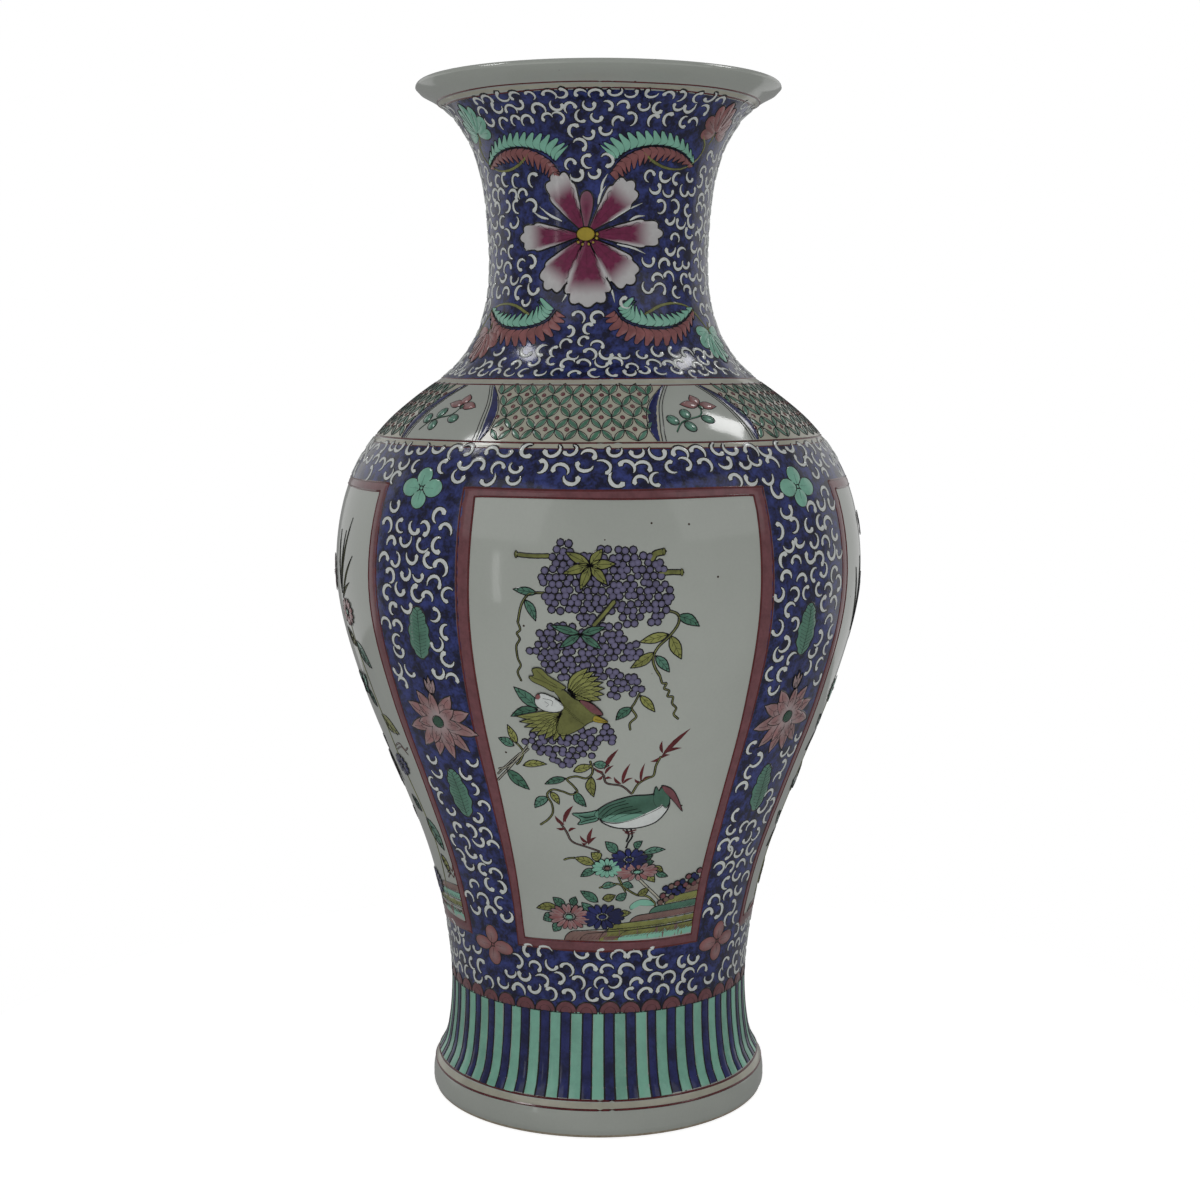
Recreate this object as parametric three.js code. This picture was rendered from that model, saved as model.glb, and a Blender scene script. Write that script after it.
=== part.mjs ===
// A tall baluster vase in porcelain: a flared foot, a swelling belly, a waisted neck and an everted mouth.
// It is built as a potter builds it: thrown rings of wall, a foot ring and a floor disc, luted one on
// another with slip. Millimetres, +Z up, and the origin is the middle of the standing face.
import * as THREE from "three";

// Driving dimensions
const HEIGHT = 457; // standing face to the top of the mouth
const RADIAL_STEPS = 48; // sides of each ring
const WALL_AT_FOOT = 8.5; // wall thickness, square to the surface
const WALL_AT_NECK = 5;
const SLIP_THICKNESS = 1.6; // height of a luted joint
const SLIP_BEAD = 1.4; // how far squeezed-out slip stands proud of the inner wall
const FOOT_RING_HEIGHT = 12; // depth of the recess under the floor
const FOOT_RING_INNER_RADIUS = 60;
const FOOT_EDGE_ROUND = 1.5;
const FOOT_SWELL = 0.8; // how far the foot ring swells past the wall above it
const FLOOR_THICKNESS = 8;
const FLOOR_RADIUS = 65;
const FLOOR_GAP = 0.3; // between the floor disc and the wall round it
const LIP_ROUND = 2.2; // radius of the rounded lip
const RING_SPACING = 13; // the most between two levels of a wall
const MOUTH_SPACING = 6; // and between two levels of the mouth, which turns out fast

// The outer profile as [radius, height] pairs, from the top of the foot ring to the lip's widest circle.
const OUTER_PROFILE = [
  [76.4, 12],
  [71.4, 22],
  [68.6, 40],
  [68.5, 60],
  [71.9, 85],
  [79.3, 115],
  [92.2, 150],
  [107.6, 190],
  [118, 230],
  [117.6, 262],
  [108.8, 290],
  [91.3, 312],
  [62.6, 335],
  [50.6, 360],
  [49.5, 395],
  [54.5, 425],
  [64.8, 443],
  [74.6, 450.6],
  [81.2, HEIGHT - LIP_ROUND],
].map(([radius, height]) => new THREE.Vector2(radius, height));

// Heights of the luted joints, from the foot up
const FOOT_JOINT = 54;
const LOWER_JOINT = 118;
const BELLY_JOINT = 200;
const SHOULDER_JOINT = 256;
const COLLAR_JOINT = 300;
const NECK_JOINT = 330;
const MOUTH_JOINT = 432;

const GLAZED_WHITE = { color: 0xa9aca5, roughness: 0.16, metalness: 0 };
const GLAZED_BLUE = { color: 0x27306e, roughness: 0.18, metalness: 0 };
const SLOPE_STEP = 0.5; // height over which the wall's slope is taken

// Radius of the outer wall at a height: a cubic through the profile, sloped by each point's neighbours.
function outerRadius(height) {
  const last = OUTER_PROFILE.length - 1;
  let i = OUTER_PROFILE.findIndex((point) => point.y >= height);
  i = THREE.MathUtils.clamp(i, 1, last);
  const [low, high] = [OUTER_PROFILE[i - 1], OUTER_PROFILE[i]];
  const slope = (k) => {
    const before = OUTER_PROFILE[Math.max(k - 1, 0)];
    const after = OUTER_PROFILE[Math.min(k + 1, last)];
    return (after.x - before.x) / (after.y - before.y);
  };
  const span = high.y - low.y;
  const t = (height - low.y) / span;
  const ease = t * t * (3 - 2 * t);
  const leave = t * (1 - t) * (1 - t) * span * slope(i - 1);
  const arrive = t * t * (t - 1) * span * slope(i);
  return low.x + (high.x - low.x) * ease + leave + arrive;
}

// Radius of the inner wall at a height: the outer one, less the wall's thickness measured square to it.
function innerRadius(height) {
  const above = Math.min(height + SLOPE_STEP, HEIGHT - LIP_ROUND);
  const slope = (outerRadius(above) - outerRadius(above - 2 * SLOPE_STEP)) / (2 * SLOPE_STEP);
  const thickness = THREE.MathUtils.mapLinear(height, 0, HEIGHT, WALL_AT_FOOT, WALL_AT_NECK);
  return outerRadius(height) - thickness * Math.hypot(1, slope);
}

// A solid of revolution about +Z from a closed loop of [radius, height] pairs, anticlockwise seen with +Z up.
function turned(loop) {
  const points = [...loop, loop[0]].map(([radius, height]) => new THREE.Vector2(radius, height));
  return new THREE.LatheGeometry(points, RADIAL_STEPS).rotateX(Math.PI / 2);
}

function piece(name, geometry, finish) {
  const mesh = new THREE.Mesh(geometry, new THREE.MeshStandardMaterial(finish));
  mesh.name = name;
  return mesh;
}

function levels(bottom, top, spacing = RING_SPACING) {
  const count = Math.ceil((top - bottom) / spacing);
  return Array.from({ length: count + 1 }, (_, i) => bottom + ((top - bottom) * i) / count);
}

// A thrown ring of wall between two levels, with flat ends that the slip joins to.
function wallRing(name, bottom, top, finish) {
  const heights = levels(bottom, top);
  const outside = heights.map((height) => [outerRadius(height), height]);
  const inside = heights.map((height) => [innerRadius(height), height]).reverse();
  return piece(name, turned([...outside, ...inside]), finish);
}

// A luted joint: a thin ring of slip between two rings of wall, with the rounded bead it leaves inside.
function slipJoint(name, middle, finish) {
  const bottom = middle - SLIP_THICKNESS / 2;
  const top = middle + SLIP_THICKNESS / 2;
  const bead = innerRadius(middle) - SLIP_BEAD;
  return piece(
    name,
    turned([
      [outerRadius(bottom), bottom],
      [outerRadius(top), top],
      [innerRadius(top), top],
      [bead, middle],
      [innerRadius(bottom), bottom],
    ]),
    finish,
  );
}

// The standing ring, with both lower edges eased.
function footRing() {
  const outer = outerRadius(FOOT_RING_HEIGHT);
  return piece(
    "foot_ring",
    turned([
      [FOOT_RING_INNER_RADIUS + FOOT_EDGE_ROUND, 0],
      [outer - FOOT_EDGE_ROUND, 0],
      [outer, FOOT_EDGE_ROUND],
      [outer + FOOT_SWELL, FOOT_RING_HEIGHT / 2],
      [outer, FOOT_RING_HEIGHT],
      [FOOT_RING_INNER_RADIUS, FOOT_RING_HEIGHT],
      [FOOT_RING_INNER_RADIUS, FOOT_EDGE_ROUND],
    ]),
    GLAZED_WHITE,
  );
}

// The floor disc sits on the foot ring's inner edge, inside the flared wall.
function floorDisc() {
  const bottom = FOOT_RING_HEIGHT;
  const top = bottom + FLOOR_THICKNESS;
  const edge = FLOOR_RADIUS - FLOOR_GAP;
  return piece(
    "base_floor",
    turned([
      [0, bottom],
      [edge, bottom],
      [edge, top],
      [0, top],
    ]),
    GLAZED_WHITE,
  );
}

// The flared foot wall stands on the foot ring, round the floor disc.
function flaredFoot() {
  const bottom = FOOT_RING_HEIGHT;
  const floorTop = bottom + FLOOR_THICKNESS;
  const top = FOOT_JOINT - SLIP_THICKNESS / 2;
  const heights = levels(bottom, top);
  const outside = heights.map((height) => [outerRadius(height), height]);
  const inside = levels(floorTop + RING_SPACING / 2, top).map((height) => [innerRadius(height), height]);
  const seat = [
    [FLOOR_RADIUS, floorTop],
    [FLOOR_RADIUS, bottom],
  ];
  return piece("flared_foot", turned([...outside, ...inside.reverse(), ...seat]), GLAZED_WHITE);
}

// The everted mouth ends in a half-round lip.
function mouthRim() {
  const bottom = MOUTH_JOINT + SLIP_THICKNESS / 2;
  const lipLevel = HEIGHT - LIP_ROUND;
  const heights = levels(bottom, lipLevel, MOUTH_SPACING);
  const outside = heights.map((height) => [outerRadius(height), height]);
  const inside = heights.map((height) => [innerRadius(height), height]);
  const [lipOuter] = outside[outside.length - 1];
  const [lipInner] = inside.pop();
  const crown = [0.3, 0.65, 1].map((turn) => {
    const angle = (turn * Math.PI) / 2;
    return [lipOuter - LIP_ROUND * (1 - Math.cos(angle)), lipLevel + LIP_ROUND * Math.sin(angle)];
  });
  const innerEase = [lipInner + LIP_ROUND / 2, HEIGHT - LIP_ROUND / 3];
  return piece("mouth_rim", turned([...outside, ...crown, innerEase, ...inside.reverse()]), GLAZED_WHITE);
}

// Walls and joints from the foot up. Each wall stops half a joint short of the joint's middle.
const half = SLIP_THICKNESS / 2;
const vase = new THREE.Group();
vase.add(
  footRing(),
  floorDisc(),
  flaredFoot(),
  slipJoint("foot_luting_joint", FOOT_JOINT, GLAZED_BLUE),
  wallRing("lower_body", FOOT_JOINT + half, LOWER_JOINT - half, GLAZED_BLUE),
  slipJoint("lower_luting_joint", LOWER_JOINT, GLAZED_BLUE),
  wallRing("lower_belly", LOWER_JOINT + half, BELLY_JOINT - half, GLAZED_BLUE),
  slipJoint("belly_luting_joint", BELLY_JOINT, GLAZED_BLUE),
  wallRing("upper_belly", BELLY_JOINT + half, SHOULDER_JOINT - half, GLAZED_BLUE),
  slipJoint("shoulder_luting_joint", SHOULDER_JOINT, GLAZED_BLUE),
  wallRing("shoulder", SHOULDER_JOINT + half, COLLAR_JOINT - half, GLAZED_BLUE),
  slipJoint("collar_luting_joint", COLLAR_JOINT, GLAZED_BLUE),
  wallRing("collar", COLLAR_JOINT + half, NECK_JOINT - half, GLAZED_BLUE),
  slipJoint("neck_luting_joint", NECK_JOINT, GLAZED_BLUE),
  wallRing("neck", NECK_JOINT + half, MOUTH_JOINT - half, GLAZED_BLUE),
  slipJoint("mouth_luting_joint", MOUTH_JOINT, GLAZED_BLUE),
  mouthRim(),
);

export default vase;
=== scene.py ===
"""A hand-enamelled porcelain baluster vase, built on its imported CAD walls."""

import math
import random

import bpy
import numpy as np
from bpy.props import FloatProperty, FloatVectorProperty, IntProperty, PointerProperty
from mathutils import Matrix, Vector


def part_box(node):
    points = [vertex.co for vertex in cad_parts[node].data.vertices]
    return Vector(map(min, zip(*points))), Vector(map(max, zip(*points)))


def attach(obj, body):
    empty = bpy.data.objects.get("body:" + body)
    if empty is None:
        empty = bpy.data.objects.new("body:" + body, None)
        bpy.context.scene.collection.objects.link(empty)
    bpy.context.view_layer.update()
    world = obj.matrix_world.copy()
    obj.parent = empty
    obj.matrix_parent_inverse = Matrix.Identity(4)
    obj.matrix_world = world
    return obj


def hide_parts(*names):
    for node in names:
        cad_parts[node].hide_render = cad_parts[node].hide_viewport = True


bl_info = {
    "name": "Porcelain Baluster Vase",
    "version": (1, 0, 0),
    "blender": (4, 5, 0),
    "location": "View3D > Sidebar > Vase",
    "description": "Turns the walls of a baluster vase and paints its enamels",
    "category": "Mesh",
}

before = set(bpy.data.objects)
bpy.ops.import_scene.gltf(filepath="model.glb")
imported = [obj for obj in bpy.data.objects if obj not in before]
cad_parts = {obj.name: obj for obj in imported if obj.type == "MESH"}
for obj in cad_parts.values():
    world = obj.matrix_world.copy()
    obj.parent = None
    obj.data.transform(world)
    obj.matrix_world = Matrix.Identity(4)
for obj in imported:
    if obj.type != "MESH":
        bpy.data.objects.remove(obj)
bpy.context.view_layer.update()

MM = 0.001
BODY = "root"

# Heights of the painted zones, in millimetres above the standing face
FOOT_LINES = (12.6, 16.2)
STRIPE_FOOT = 16.8
STRIPE_TOP = 53.6
SCALLOP_TOP = 59.6
GROUND_FOOT = 54.0
PANEL_FOOT = 86.5
PANEL_TOP = 281.5
BODY_GROUND_TOP = 299.6
LOWER_STRIP = (299.8, 302.2)
UPPER_STRIP = (325.2, 327.7)
NECK_GROUND_TOP = 446.0
MOUTH_LINES = (446.4, 448.6)

# Turns round the vase, in degrees to the right of the front
PANEL_CENTRES = (0.4, 91.2, 180.9, 271.6)
PANEL_HALF = 32.2
PILLAR_CENTRES = (45.3, 136.0, 226.2, 316.9)
RESERVE_CENTRES = (-46.6, 24.4, 97.0, 169.2, 241.4)
STRIPE_PAIRS = 45
BACK = PANEL_CENTRES[2] - PANEL_CENTRES[0]

SLIP_BEAD = 1.4  # how far a joint's slip stands proud of the inner wall, in millimetres

# Layers of enamel, in millimetres above the glaze
SINK = 0.05
GROUND_LIFT = 0.14
FILL_THICK = 0.24


# ---------------------------------------------------------------- the wall

def wall_corners(facing, skipped):
    """[height, radius] rows in mm of the CAD corners on faces that look outwards (1) or inwards (-1)."""
    found = {}
    for name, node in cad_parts.items():
        if any(word in name for word in skipped):
            continue
        corners = node.data.vertices
        for face in node.data.polygons:
            middle = face.center
            out = (middle.x * face.normal.x + middle.y * face.normal.y) / math.hypot(middle.x, middle.y)
            if out * facing > 0.3:
                for i in face.vertices:
                    place = corners[i].co
                    found[round(place.z / MM, 2)] = math.hypot(place.x, place.y) / MM
    return np.array(sorted(found.items()))


def flowing(rows, at):
    """A smooth curve through [height, radius] rows, read at some heights."""
    levels, radii = rows.T
    slopes = np.gradient(radii, levels)
    i = np.clip(np.searchsorted(levels, at) - 1, 0, len(levels) - 2)
    span = levels[i + 1] - levels[i]
    t = (at - levels[i]) / span
    ease = t * t * (3 - 2 * t)
    leave = t * (1 - t) ** 2 * span * slopes[i]
    arrive = t * t * (t - 1) * span * slopes[i + 1]
    return radii[i] * (1 - ease) + radii[i + 1] * ease + leave + arrive


OUTER = wall_corners(1, ("base_floor",))
INNER = wall_corners(-1, ("base_floor", "foot_ring", "joint"))
LEVELS = np.arange(OUTER[0, 0], OUTER[-1, 0], 0.25)
OUTER_RADII = flowing(OUTER, LEVELS)
OUTER_SLOPES = np.gradient(OUTER_RADII, LEVELS)


def radius_at(height):
    return np.interp(height, LEVELS, OUTER_RADII)


def slope_at(height):
    return np.interp(height, LEVELS, OUTER_SLOPES)


def on_wall(turns, heights, lifts):
    """Places in metres of points at some turns (degrees) and heights (mm), lifted off the wall (mm)."""
    slope = slope_at(heights)
    lean = np.hypot(1, slope)
    radius = radius_at(heights) + lifts / lean
    level = heights - lifts * slope / lean
    angle = np.radians(turns)
    return np.stack([radius * np.sin(angle), -radius * np.cos(angle), level], axis=-1) * MM


# ---------------------------------------------------------------- materials

def linear(red, green, blue):
    """A colour given as 0 to 255 on a paint chart, in the linear values that shaders use."""
    chart = [c / 255 for c in (red, green, blue)]
    return tuple(((c + 0.055) / 1.055) ** 2.4 if c > 0.04 else c / 12.92 for c in chart)


def shade(colour, amount):
    return tuple(min(1.0, c * amount) for c in colour)


def feed(tree, node, values):
    """Sets a node's inputs. A value is a constant, or another node's output to link."""
    for socket, value in values.items():
        if isinstance(value, bpy.types.NodeSocket):
            tree.links.new(value, node.inputs[socket])
        else:
            node.inputs[socket].default_value = value


def add_node(tree, kind, values=(), **settings):
    node = tree.nodes.new(kind)
    for key, value in settings.items():
        setattr(node, key, value)
    feed(tree, node, dict(values))
    return node


def math_node(tree, operation, *values, clamp=False):
    values = dict(enumerate(values))
    return add_node(tree, "ShaderNodeMath", values, operation=operation, use_clamp=clamp).outputs[0]


def mix_node(tree, share, first, second):
    values = {"Factor": share, "A": first, "B": second}
    return add_node(tree, "ShaderNodeMix", values, data_type="RGBA").outputs["Result"]


def noise_node(tree, scale, detail, roughness=0.5):
    """Fine noise on Object coordinates. scale is in features a metre."""
    place = add_node(tree, "ShaderNodeTexCoord").outputs["Object"]
    values = {"Vector": place, "Scale": scale, "Detail": detail, "Roughness": roughness}
    return add_node(tree, "ShaderNodeTexNoise", values).outputs["Fac"]


def node_group(name, inputs, outputs):
    """An empty shader group with named sockets, and what its inputs give."""
    group = bpy.data.node_groups.new(name, "ShaderNodeTree")
    for label, value in inputs.items():
        kind = "NodeSocketFloat" if isinstance(value, float) else "NodeSocketColor"
        socket = group.interface.new_socket(name=label, in_out="INPUT", socket_type=kind)
        socket.default_value = value
    for label, kind in outputs.items():
        group.interface.new_socket(name=label, in_out="OUTPUT", socket_type=kind)
    return group, add_node(group, "NodeGroupInput").outputs


def make_brushwork_group():
    """How a hand-laid wash pools: thin and thick colour mixed in soft patches and fine streaks."""
    inputs = {
        "Thin Colour": (0.5, 0.5, 0.5, 1),
        "Thick Colour": (0.3, 0.3, 0.3, 1),
        "Patches": 120.0,
        "Balance": 0.5,
        "Contrast": 4.0,
    }
    group, given = node_group("brushwork", inputs, {"Colour": "NodeSocketColor"})
    patches = noise_node(group, given["Patches"], 3.0, 0.6)
    streaks = noise_node(group, 900.0, 2.0)
    blend = math_node(group, "MULTIPLY_ADD", streaks, 0.3, patches)
    centred = math_node(group, "SUBTRACT", blend, 0.65)
    depth = math_node(group, "MULTIPLY_ADD", centred, given["Contrast"], given["Balance"], clamp=True)
    colour = mix_node(group, depth, given["Thin Colour"], given["Thick Colour"])
    add_node(group, "NodeGroupOutput", {"Colour": colour})
    return group


def make_fired_skin_group():
    """A fired glaze's skin: a faint orange-peel swell for the bump, and a gloss that varies a little."""
    outputs = {"Height": "NodeSocketFloat", "Roughness": "NodeSocketFloat"}
    group, given = node_group("fired_skin", {"Swell": 60.0, "Gloss": 0.12, "Dulling": 0.1}, outputs)
    swell = noise_node(group, given["Swell"], 2.0)
    peel = noise_node(group, 700.0, 1.0)
    height = math_node(group, "MULTIPLY_ADD", peel, 0.12, swell)
    wear = noise_node(group, 260.0, 4.0, 0.65)
    rough = math_node(group, "MULTIPLY_ADD", wear, given["Dulling"], given["Gloss"])
    add_node(group, "NodeGroupOutput", {"Height": height, "Roughness": rough})
    return group


def make_specks_group():
    """Sparse iron specks that fire through a glaze."""
    inputs = {
        "Colour": (0.4, 0.4, 0.4, 1),
        "Speck Colour": (0.05, 0.03, 0.02, 1),
        "Spacing": 70.0,
        "Size": 0.035,
    }
    group, given = node_group("iron_specks", inputs, {"Colour": "NodeSocketColor"})
    place = add_node(group, "ShaderNodeTexCoord").outputs["Object"]
    values = {"Vector": place, "Scale": given["Spacing"], "Randomness": 1.0}
    cells = add_node(group, "ShaderNodeTexVoronoi", values)
    near = math_node(group, "LESS_THAN", cells.outputs["Distance"], given["Size"])
    colour = mix_node(group, near, given["Colour"], given["Speck Colour"])
    add_node(group, "NodeGroupOutput", {"Colour": colour})
    return group


GROUP_MAKERS = {
    "brushwork": make_brushwork_group,
    "fired_skin": make_fired_skin_group,
    "iron_specks": make_specks_group,
}


def placed_group(tree, name, values):
    """The outputs of one of the shared groups, made the first time it is asked for."""
    group = bpy.data.node_groups.get(name) or GROUP_MAKERS[name]()
    return add_node(tree, "ShaderNodeGroup", values, node_tree=group).outputs


def fired_material(name, thin, thick, patches=150.0, balance=0.5, contrast=3.0, gloss=0.1, dulling=0.1,
        bump=0.12, tips=None, specks=None):
    """A fired glaze or enamel. tips is the colour it fades to where the piece's wash attribute is 1."""
    material = bpy.data.materials.new(name)
    material.use_nodes = True
    tree = material.node_tree
    work = {"Thin Colour": (*thin, 1), "Thick Colour": (*thick, 1)}
    work.update({"Patches": patches, "Balance": balance, "Contrast": contrast})
    colour = placed_group(tree, "brushwork", work)["Colour"]
    if tips is not None:
        wash = add_node(tree, "ShaderNodeAttribute", attribute_name="wash").outputs["Fac"]
        colour = mix_node(tree, wash, colour, (*tips, 1))
    if specks is not None:
        colour = placed_group(tree, "iron_specks", {"Colour": colour, "Speck Colour": (*specks,
                    1)})["Colour"]
    skin = placed_group(tree, "fired_skin", {"Gloss": gloss, "Dulling": dulling})
    relief = add_node(tree, "ShaderNodeBump", {"Height": skin["Height"], "Strength": bump, "Distance": MM})
    feed(tree, tree.nodes["Principled BSDF"], {
        "Base Color": colour,
        "Roughness": skin["Roughness"],
        "Normal": relief.outputs["Normal"],
        "IOR": 1.5,
        "Coat Weight": 0.25,
        "Coat Roughness": 0.05,
    })
    return material


def make_bare_clay():
    """Unglazed fired porcelain: matt, slightly buff and finely grained."""
    clay = fired_material("bare_porcelain", linear(190, 180, 160), linear(160, 146, 124), patches=400.0,
        gloss=0.6, dulling=0.3, bump=0.5)
    clay.node_tree.nodes["Principled BSDF"].inputs["Coat Weight"].default_value = 0.0
    return clay


def enamel_looks(name):
    """An enamel's slot, its thin colour, its thick colour or how dark that is, and its finish."""
    colours = bpy.context.scene.vase_colours
    pale = tuple(colours.petal_tips)
    green, olive = colours.leaf_green, colours.yellow_green
    return {
        "white_glaze": ("white_glaze", colours.glaze, 0.9, {
            "patches": 16.0, "contrast": 2.2, "gloss": 0.07, "dulling": 0.08, "bump": 0.1,
            "specks": (0.06, 0.04, 0.03)}),
        "blue_ground": ("blue_ground", colours.ground_thin, tuple(colours.ground_thick), {
            "patches": 230.0, "balance": 0.6, "contrast": 3.6, "gloss": 0.08, "dulling": 0.14, "bump": 0.2}),
        "white_enamel": ("white_enamel", colours.white_enamel, 0.88, {}),
        "black_line": ("black_line", colours.black_line, 0.5, {"gloss": 0.16}),
        "red_line": ("iron_red_line", colours.red_line, 0.6, {"patches": 300.0}),
        "cream": ("cream_enamel", colours.cream, 0.88, {}),
        "rose_frame": ("rose_enamel", colours.rose_frame, 0.7, {"patches": 240.0, "contrast": 2.4}),
        "rose": ("rose_enamel", colours.rose, 0.66, {"tips": pale}),
        "turquoise": ("turquoise_enamel", colours.turquoise, 0.8, {
            "patches": 160.0, "tips": shade(colours.turquoise, 1.35)}),
        "leaf_green": ("green_enamel", green, 0.45, {"tips": shade(colours.turquoise, 0.58)}),
        "yellow_green": ("yellow_green_enamel", olive, 0.5, {"tips": shade(olive, 1.4)}),
        "magenta": ("magenta_enamel", colours.magenta, 0.7, {"tips": pale, "patches": 420.0}),
        "yellow": ("yellow_enamel", colours.yellow, 0.75, {}),
        # The violet's paler tips colour is a painted highlight, laid on the middle of each berry.
        "violet": ("violet_enamel", colours.violet, 0.6, {
            "tips": shade(colours.violet, 1.8), "patches": 300.0}),
        "cobalt": ("cobalt_enamel", colours.cobalt, 0.4, {"patches": 110.0, "contrast": 4.0}),
        "rock_mauve": ("mauve_enamel", colours.rock_mauve, 0.7, {"tips": shade(colours.rock_mauve, 1.5)}),
        "bird_green": ("green_enamel", shade(green, 0.5), 0.6, {"tips": shade(colours.turquoise, 0.8)}),
        "bird_olive": ("yellow_green_enamel", shade(olive, 0.62), 0.6, {"tips": shade(olive, 1.05)}),
    }[name]


def enamel_material(name):
    """The material of one enamel, made the first time it is asked for."""
    _, thin, thick, finish = enamel_looks(name)
    if not isinstance(thick, tuple):
        thick = shade(thin, thick)
    made = bpy.data.materials.get(f"{name}_fired")
    return made or fired_material(f"{name}_fired", tuple(thin), thick, **finish)


# ---------------------------------------------------------------- turned pieces

def start_clean():
    """Leaves edit mode and deselects everything."""
    if bpy.context.object and bpy.context.object.mode != "OBJECT":
        bpy.ops.object.mode_set(mode="OBJECT")
    bpy.ops.object.select_all(action="DESELECT")


def mesh_piece(name, places, polygons):
    """An object of plain polygons, open in edit mode with everything selected."""
    mesh = bpy.data.meshes.new(name)
    mesh.from_pydata(places.tolist(), [], polygons)
    piece = bpy.data.objects.new(name, mesh)
    bpy.context.scene.collection.objects.link(piece)
    start_clean()
    bpy.context.view_layer.objects.active = piece
    piece.select_set(True)
    bpy.ops.object.mode_set(mode="EDIT")
    bpy.ops.mesh.select_all(action="SELECT")
    return piece


def settle(piece, enamel, smooth_angle=40.0):
    """Shades a finished piece, gives it its finish and lets it ride on the vase."""
    start_clean()
    bpy.context.view_layer.objects.active = piece
    piece.select_set(True)
    bpy.ops.object.shade_smooth_by_angle(angle=math.radians(smooth_angle))
    piece.data.materials.clear()
    piece.data.materials.append(enamel_material(enamel))
    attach(piece, BODY)
    enamel_looks(enamel)[0]
    return piece


def turned(name, loop, closed=True):
    """Draws a section of [radius, height] rows in mm, point by point, and spins it round the axis."""
    start_clean()
    bpy.ops.mesh.primitive_plane_add(size=MM)
    piece = bpy.context.object
    piece.name = piece.data.name = name
    bpy.ops.object.mode_set(mode="EDIT")
    bpy.ops.mesh.merge(type="CENTER")
    rows = [np.array(row) for row in loop]
    if closed:
        rows.append(rows[0])
    bpy.ops.transform.translate(value=(rows[0][0] * MM, 0, rows[0][1] * MM))
    for last, row in zip(rows, rows[1:]):
        step = (row - last) * MM
        bpy.ops.mesh.extrude_region_move(TRANSFORM_OT_translate={"value": (step[0], 0, step[1])})
    bpy.ops.mesh.select_all(action="SELECT")
    steps = bpy.context.scene.vase_sizes.wall_steps
    bpy.ops.mesh.spin(steps=steps, angle=math.tau, center=(0, 0, 0), axis=(0, 0, 1))
    bpy.ops.mesh.select_all(action="SELECT")
    bpy.ops.mesh.remove_doubles(threshold=0.01 * MM)
    bpy.ops.mesh.normals_make_consistent(inside=False)
    bpy.ops.object.mode_set(mode="OBJECT")
    return piece


def span_of(node):
    """The heights in mm that a CAD node reaches between."""
    return [corner[2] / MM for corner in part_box(node)]


def heights_between(low, high, spacing):
    return np.linspace(low, high, max(2, math.ceil((high - low) / spacing) + 1))


def wall_loop(node):
    """The section of a wall or joint between its own CAD levels. A joint's slip leaves a bead inside."""
    low, high = span_of(node)
    outside = heights_between(low, high, 2.5)
    levels = heights_between(low, high, 5.0)[::-1]
    inside = list(zip(flowing(INNER, levels), levels))
    if "joint" in node:
        middle = (low + high) / 2
        bead = flowing(INNER, np.array([middle]))[0] - SLIP_BEAD
        inside[1:-1] = [(bead + 0.35, middle + 0.5), (bead, middle), (bead + 0.35, middle - 0.5)]
    return list(zip(radius_at(outside), outside)) + inside


def foot_ring_loop():
    """The standing ring, with rounded edges inside and out."""
    top = span_of("foot_ring")[1]
    inner = 60.0
    face_inner = inner + 1.5
    face_outer = radius_at(0.0)
    outside = [(radius_at(z), z) for z in heights_between(1.5, top, 1.5)]
    outer_edge = [(face_outer, 0.0), (face_outer + 0.75, 0.2), (face_outer + 1.25, 0.7)]
    inner_edge = [(inner, 1.5), (inner + 0.2, 0.7), (inner + 0.7, 0.2), (face_inner, 0.0)]
    return outer_edge + outside + [(inner + 1.0, top), (inner, top - 1.0)] + inner_edge


def flared_foot_loop():
    """The lowest wall, seated round the floor disc, with a soft fillet of glaze over the seat."""
    low, high = span_of("flared_foot")
    floor_top = span_of("base_floor")[1]
    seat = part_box("base_floor")[1][0] / MM + 0.3
    outside = [(radius_at(z), z) for z in heights_between(low, high, 2.5)]
    inside_heights = np.linspace(high, floor_top + 6.5, 6)
    inside = list(zip(flowing(INNER, inside_heights), inside_heights))
    fillet = [(seat - 2.6, floor_top + 4.0), (seat - 1.6, floor_top + 1.6), (seat, floor_top)]
    return outside + inside + fillet + [(seat, low)]


def mouth_rim_loop():
    """The everted mouth, with a full round lip."""
    low, high = span_of("mouth_rim")
    lip = 2.2
    level = high - lip
    widest = radius_at(level - 0.01)
    outside = [(radius_at(z), z) for z in heights_between(low, level, 2.0)]
    crown = [(widest - lip * (1 - math.cos(a)), level + lip * math.sin(a))
             for a in np.linspace(0.25, 1.57, 6)]
    inner_lip = INNER[-1]
    ease = [(widest - lip - 1.6, high - 0.15), (widest - lip - 3.4, high - 0.6)]
    inside_heights = np.linspace(inner_lip[0], low, 9)
    inside = list(zip(flowing(INNER, inside_heights), inside_heights))
    return outside + crown + ease + inside


# ---------------------------------------------------------------- drawing on the wall

def rows(*pairs):
    """[turn, height] rows from plain pairs."""
    return np.array(pairs, dtype=float)


def blend(a, b, c, d, t):
    """The smooth line from b to c at t, with a before it and d after it."""
    bend = (2 * a - 5 * b + 4 * c - d) * t ** 2
    return 0.5 * (2 * b + (c - a) * t + bend + (3 * b - a - 3 * c + d) * t ** 3)


def curve(points, samples):
    """A smooth line through [turn, height] points."""
    points = np.asarray(points, dtype=float)
    if len(points) == 2:
        steps = np.linspace(0, 1, samples)[:, None]
        return points[0] * (1 - steps) + points[1] * steps
    ends = np.vstack([2 * points[0] - points[1], points, 2 * points[-1] - points[-2]])
    at = np.linspace(0, len(points) - 1, samples)
    i = np.minimum(at.astype(int), len(points) - 2)
    t = (at - i)[:, None]
    return blend(ends[i], ends[i + 1], ends[i + 2], ends[i + 3], t)


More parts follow.
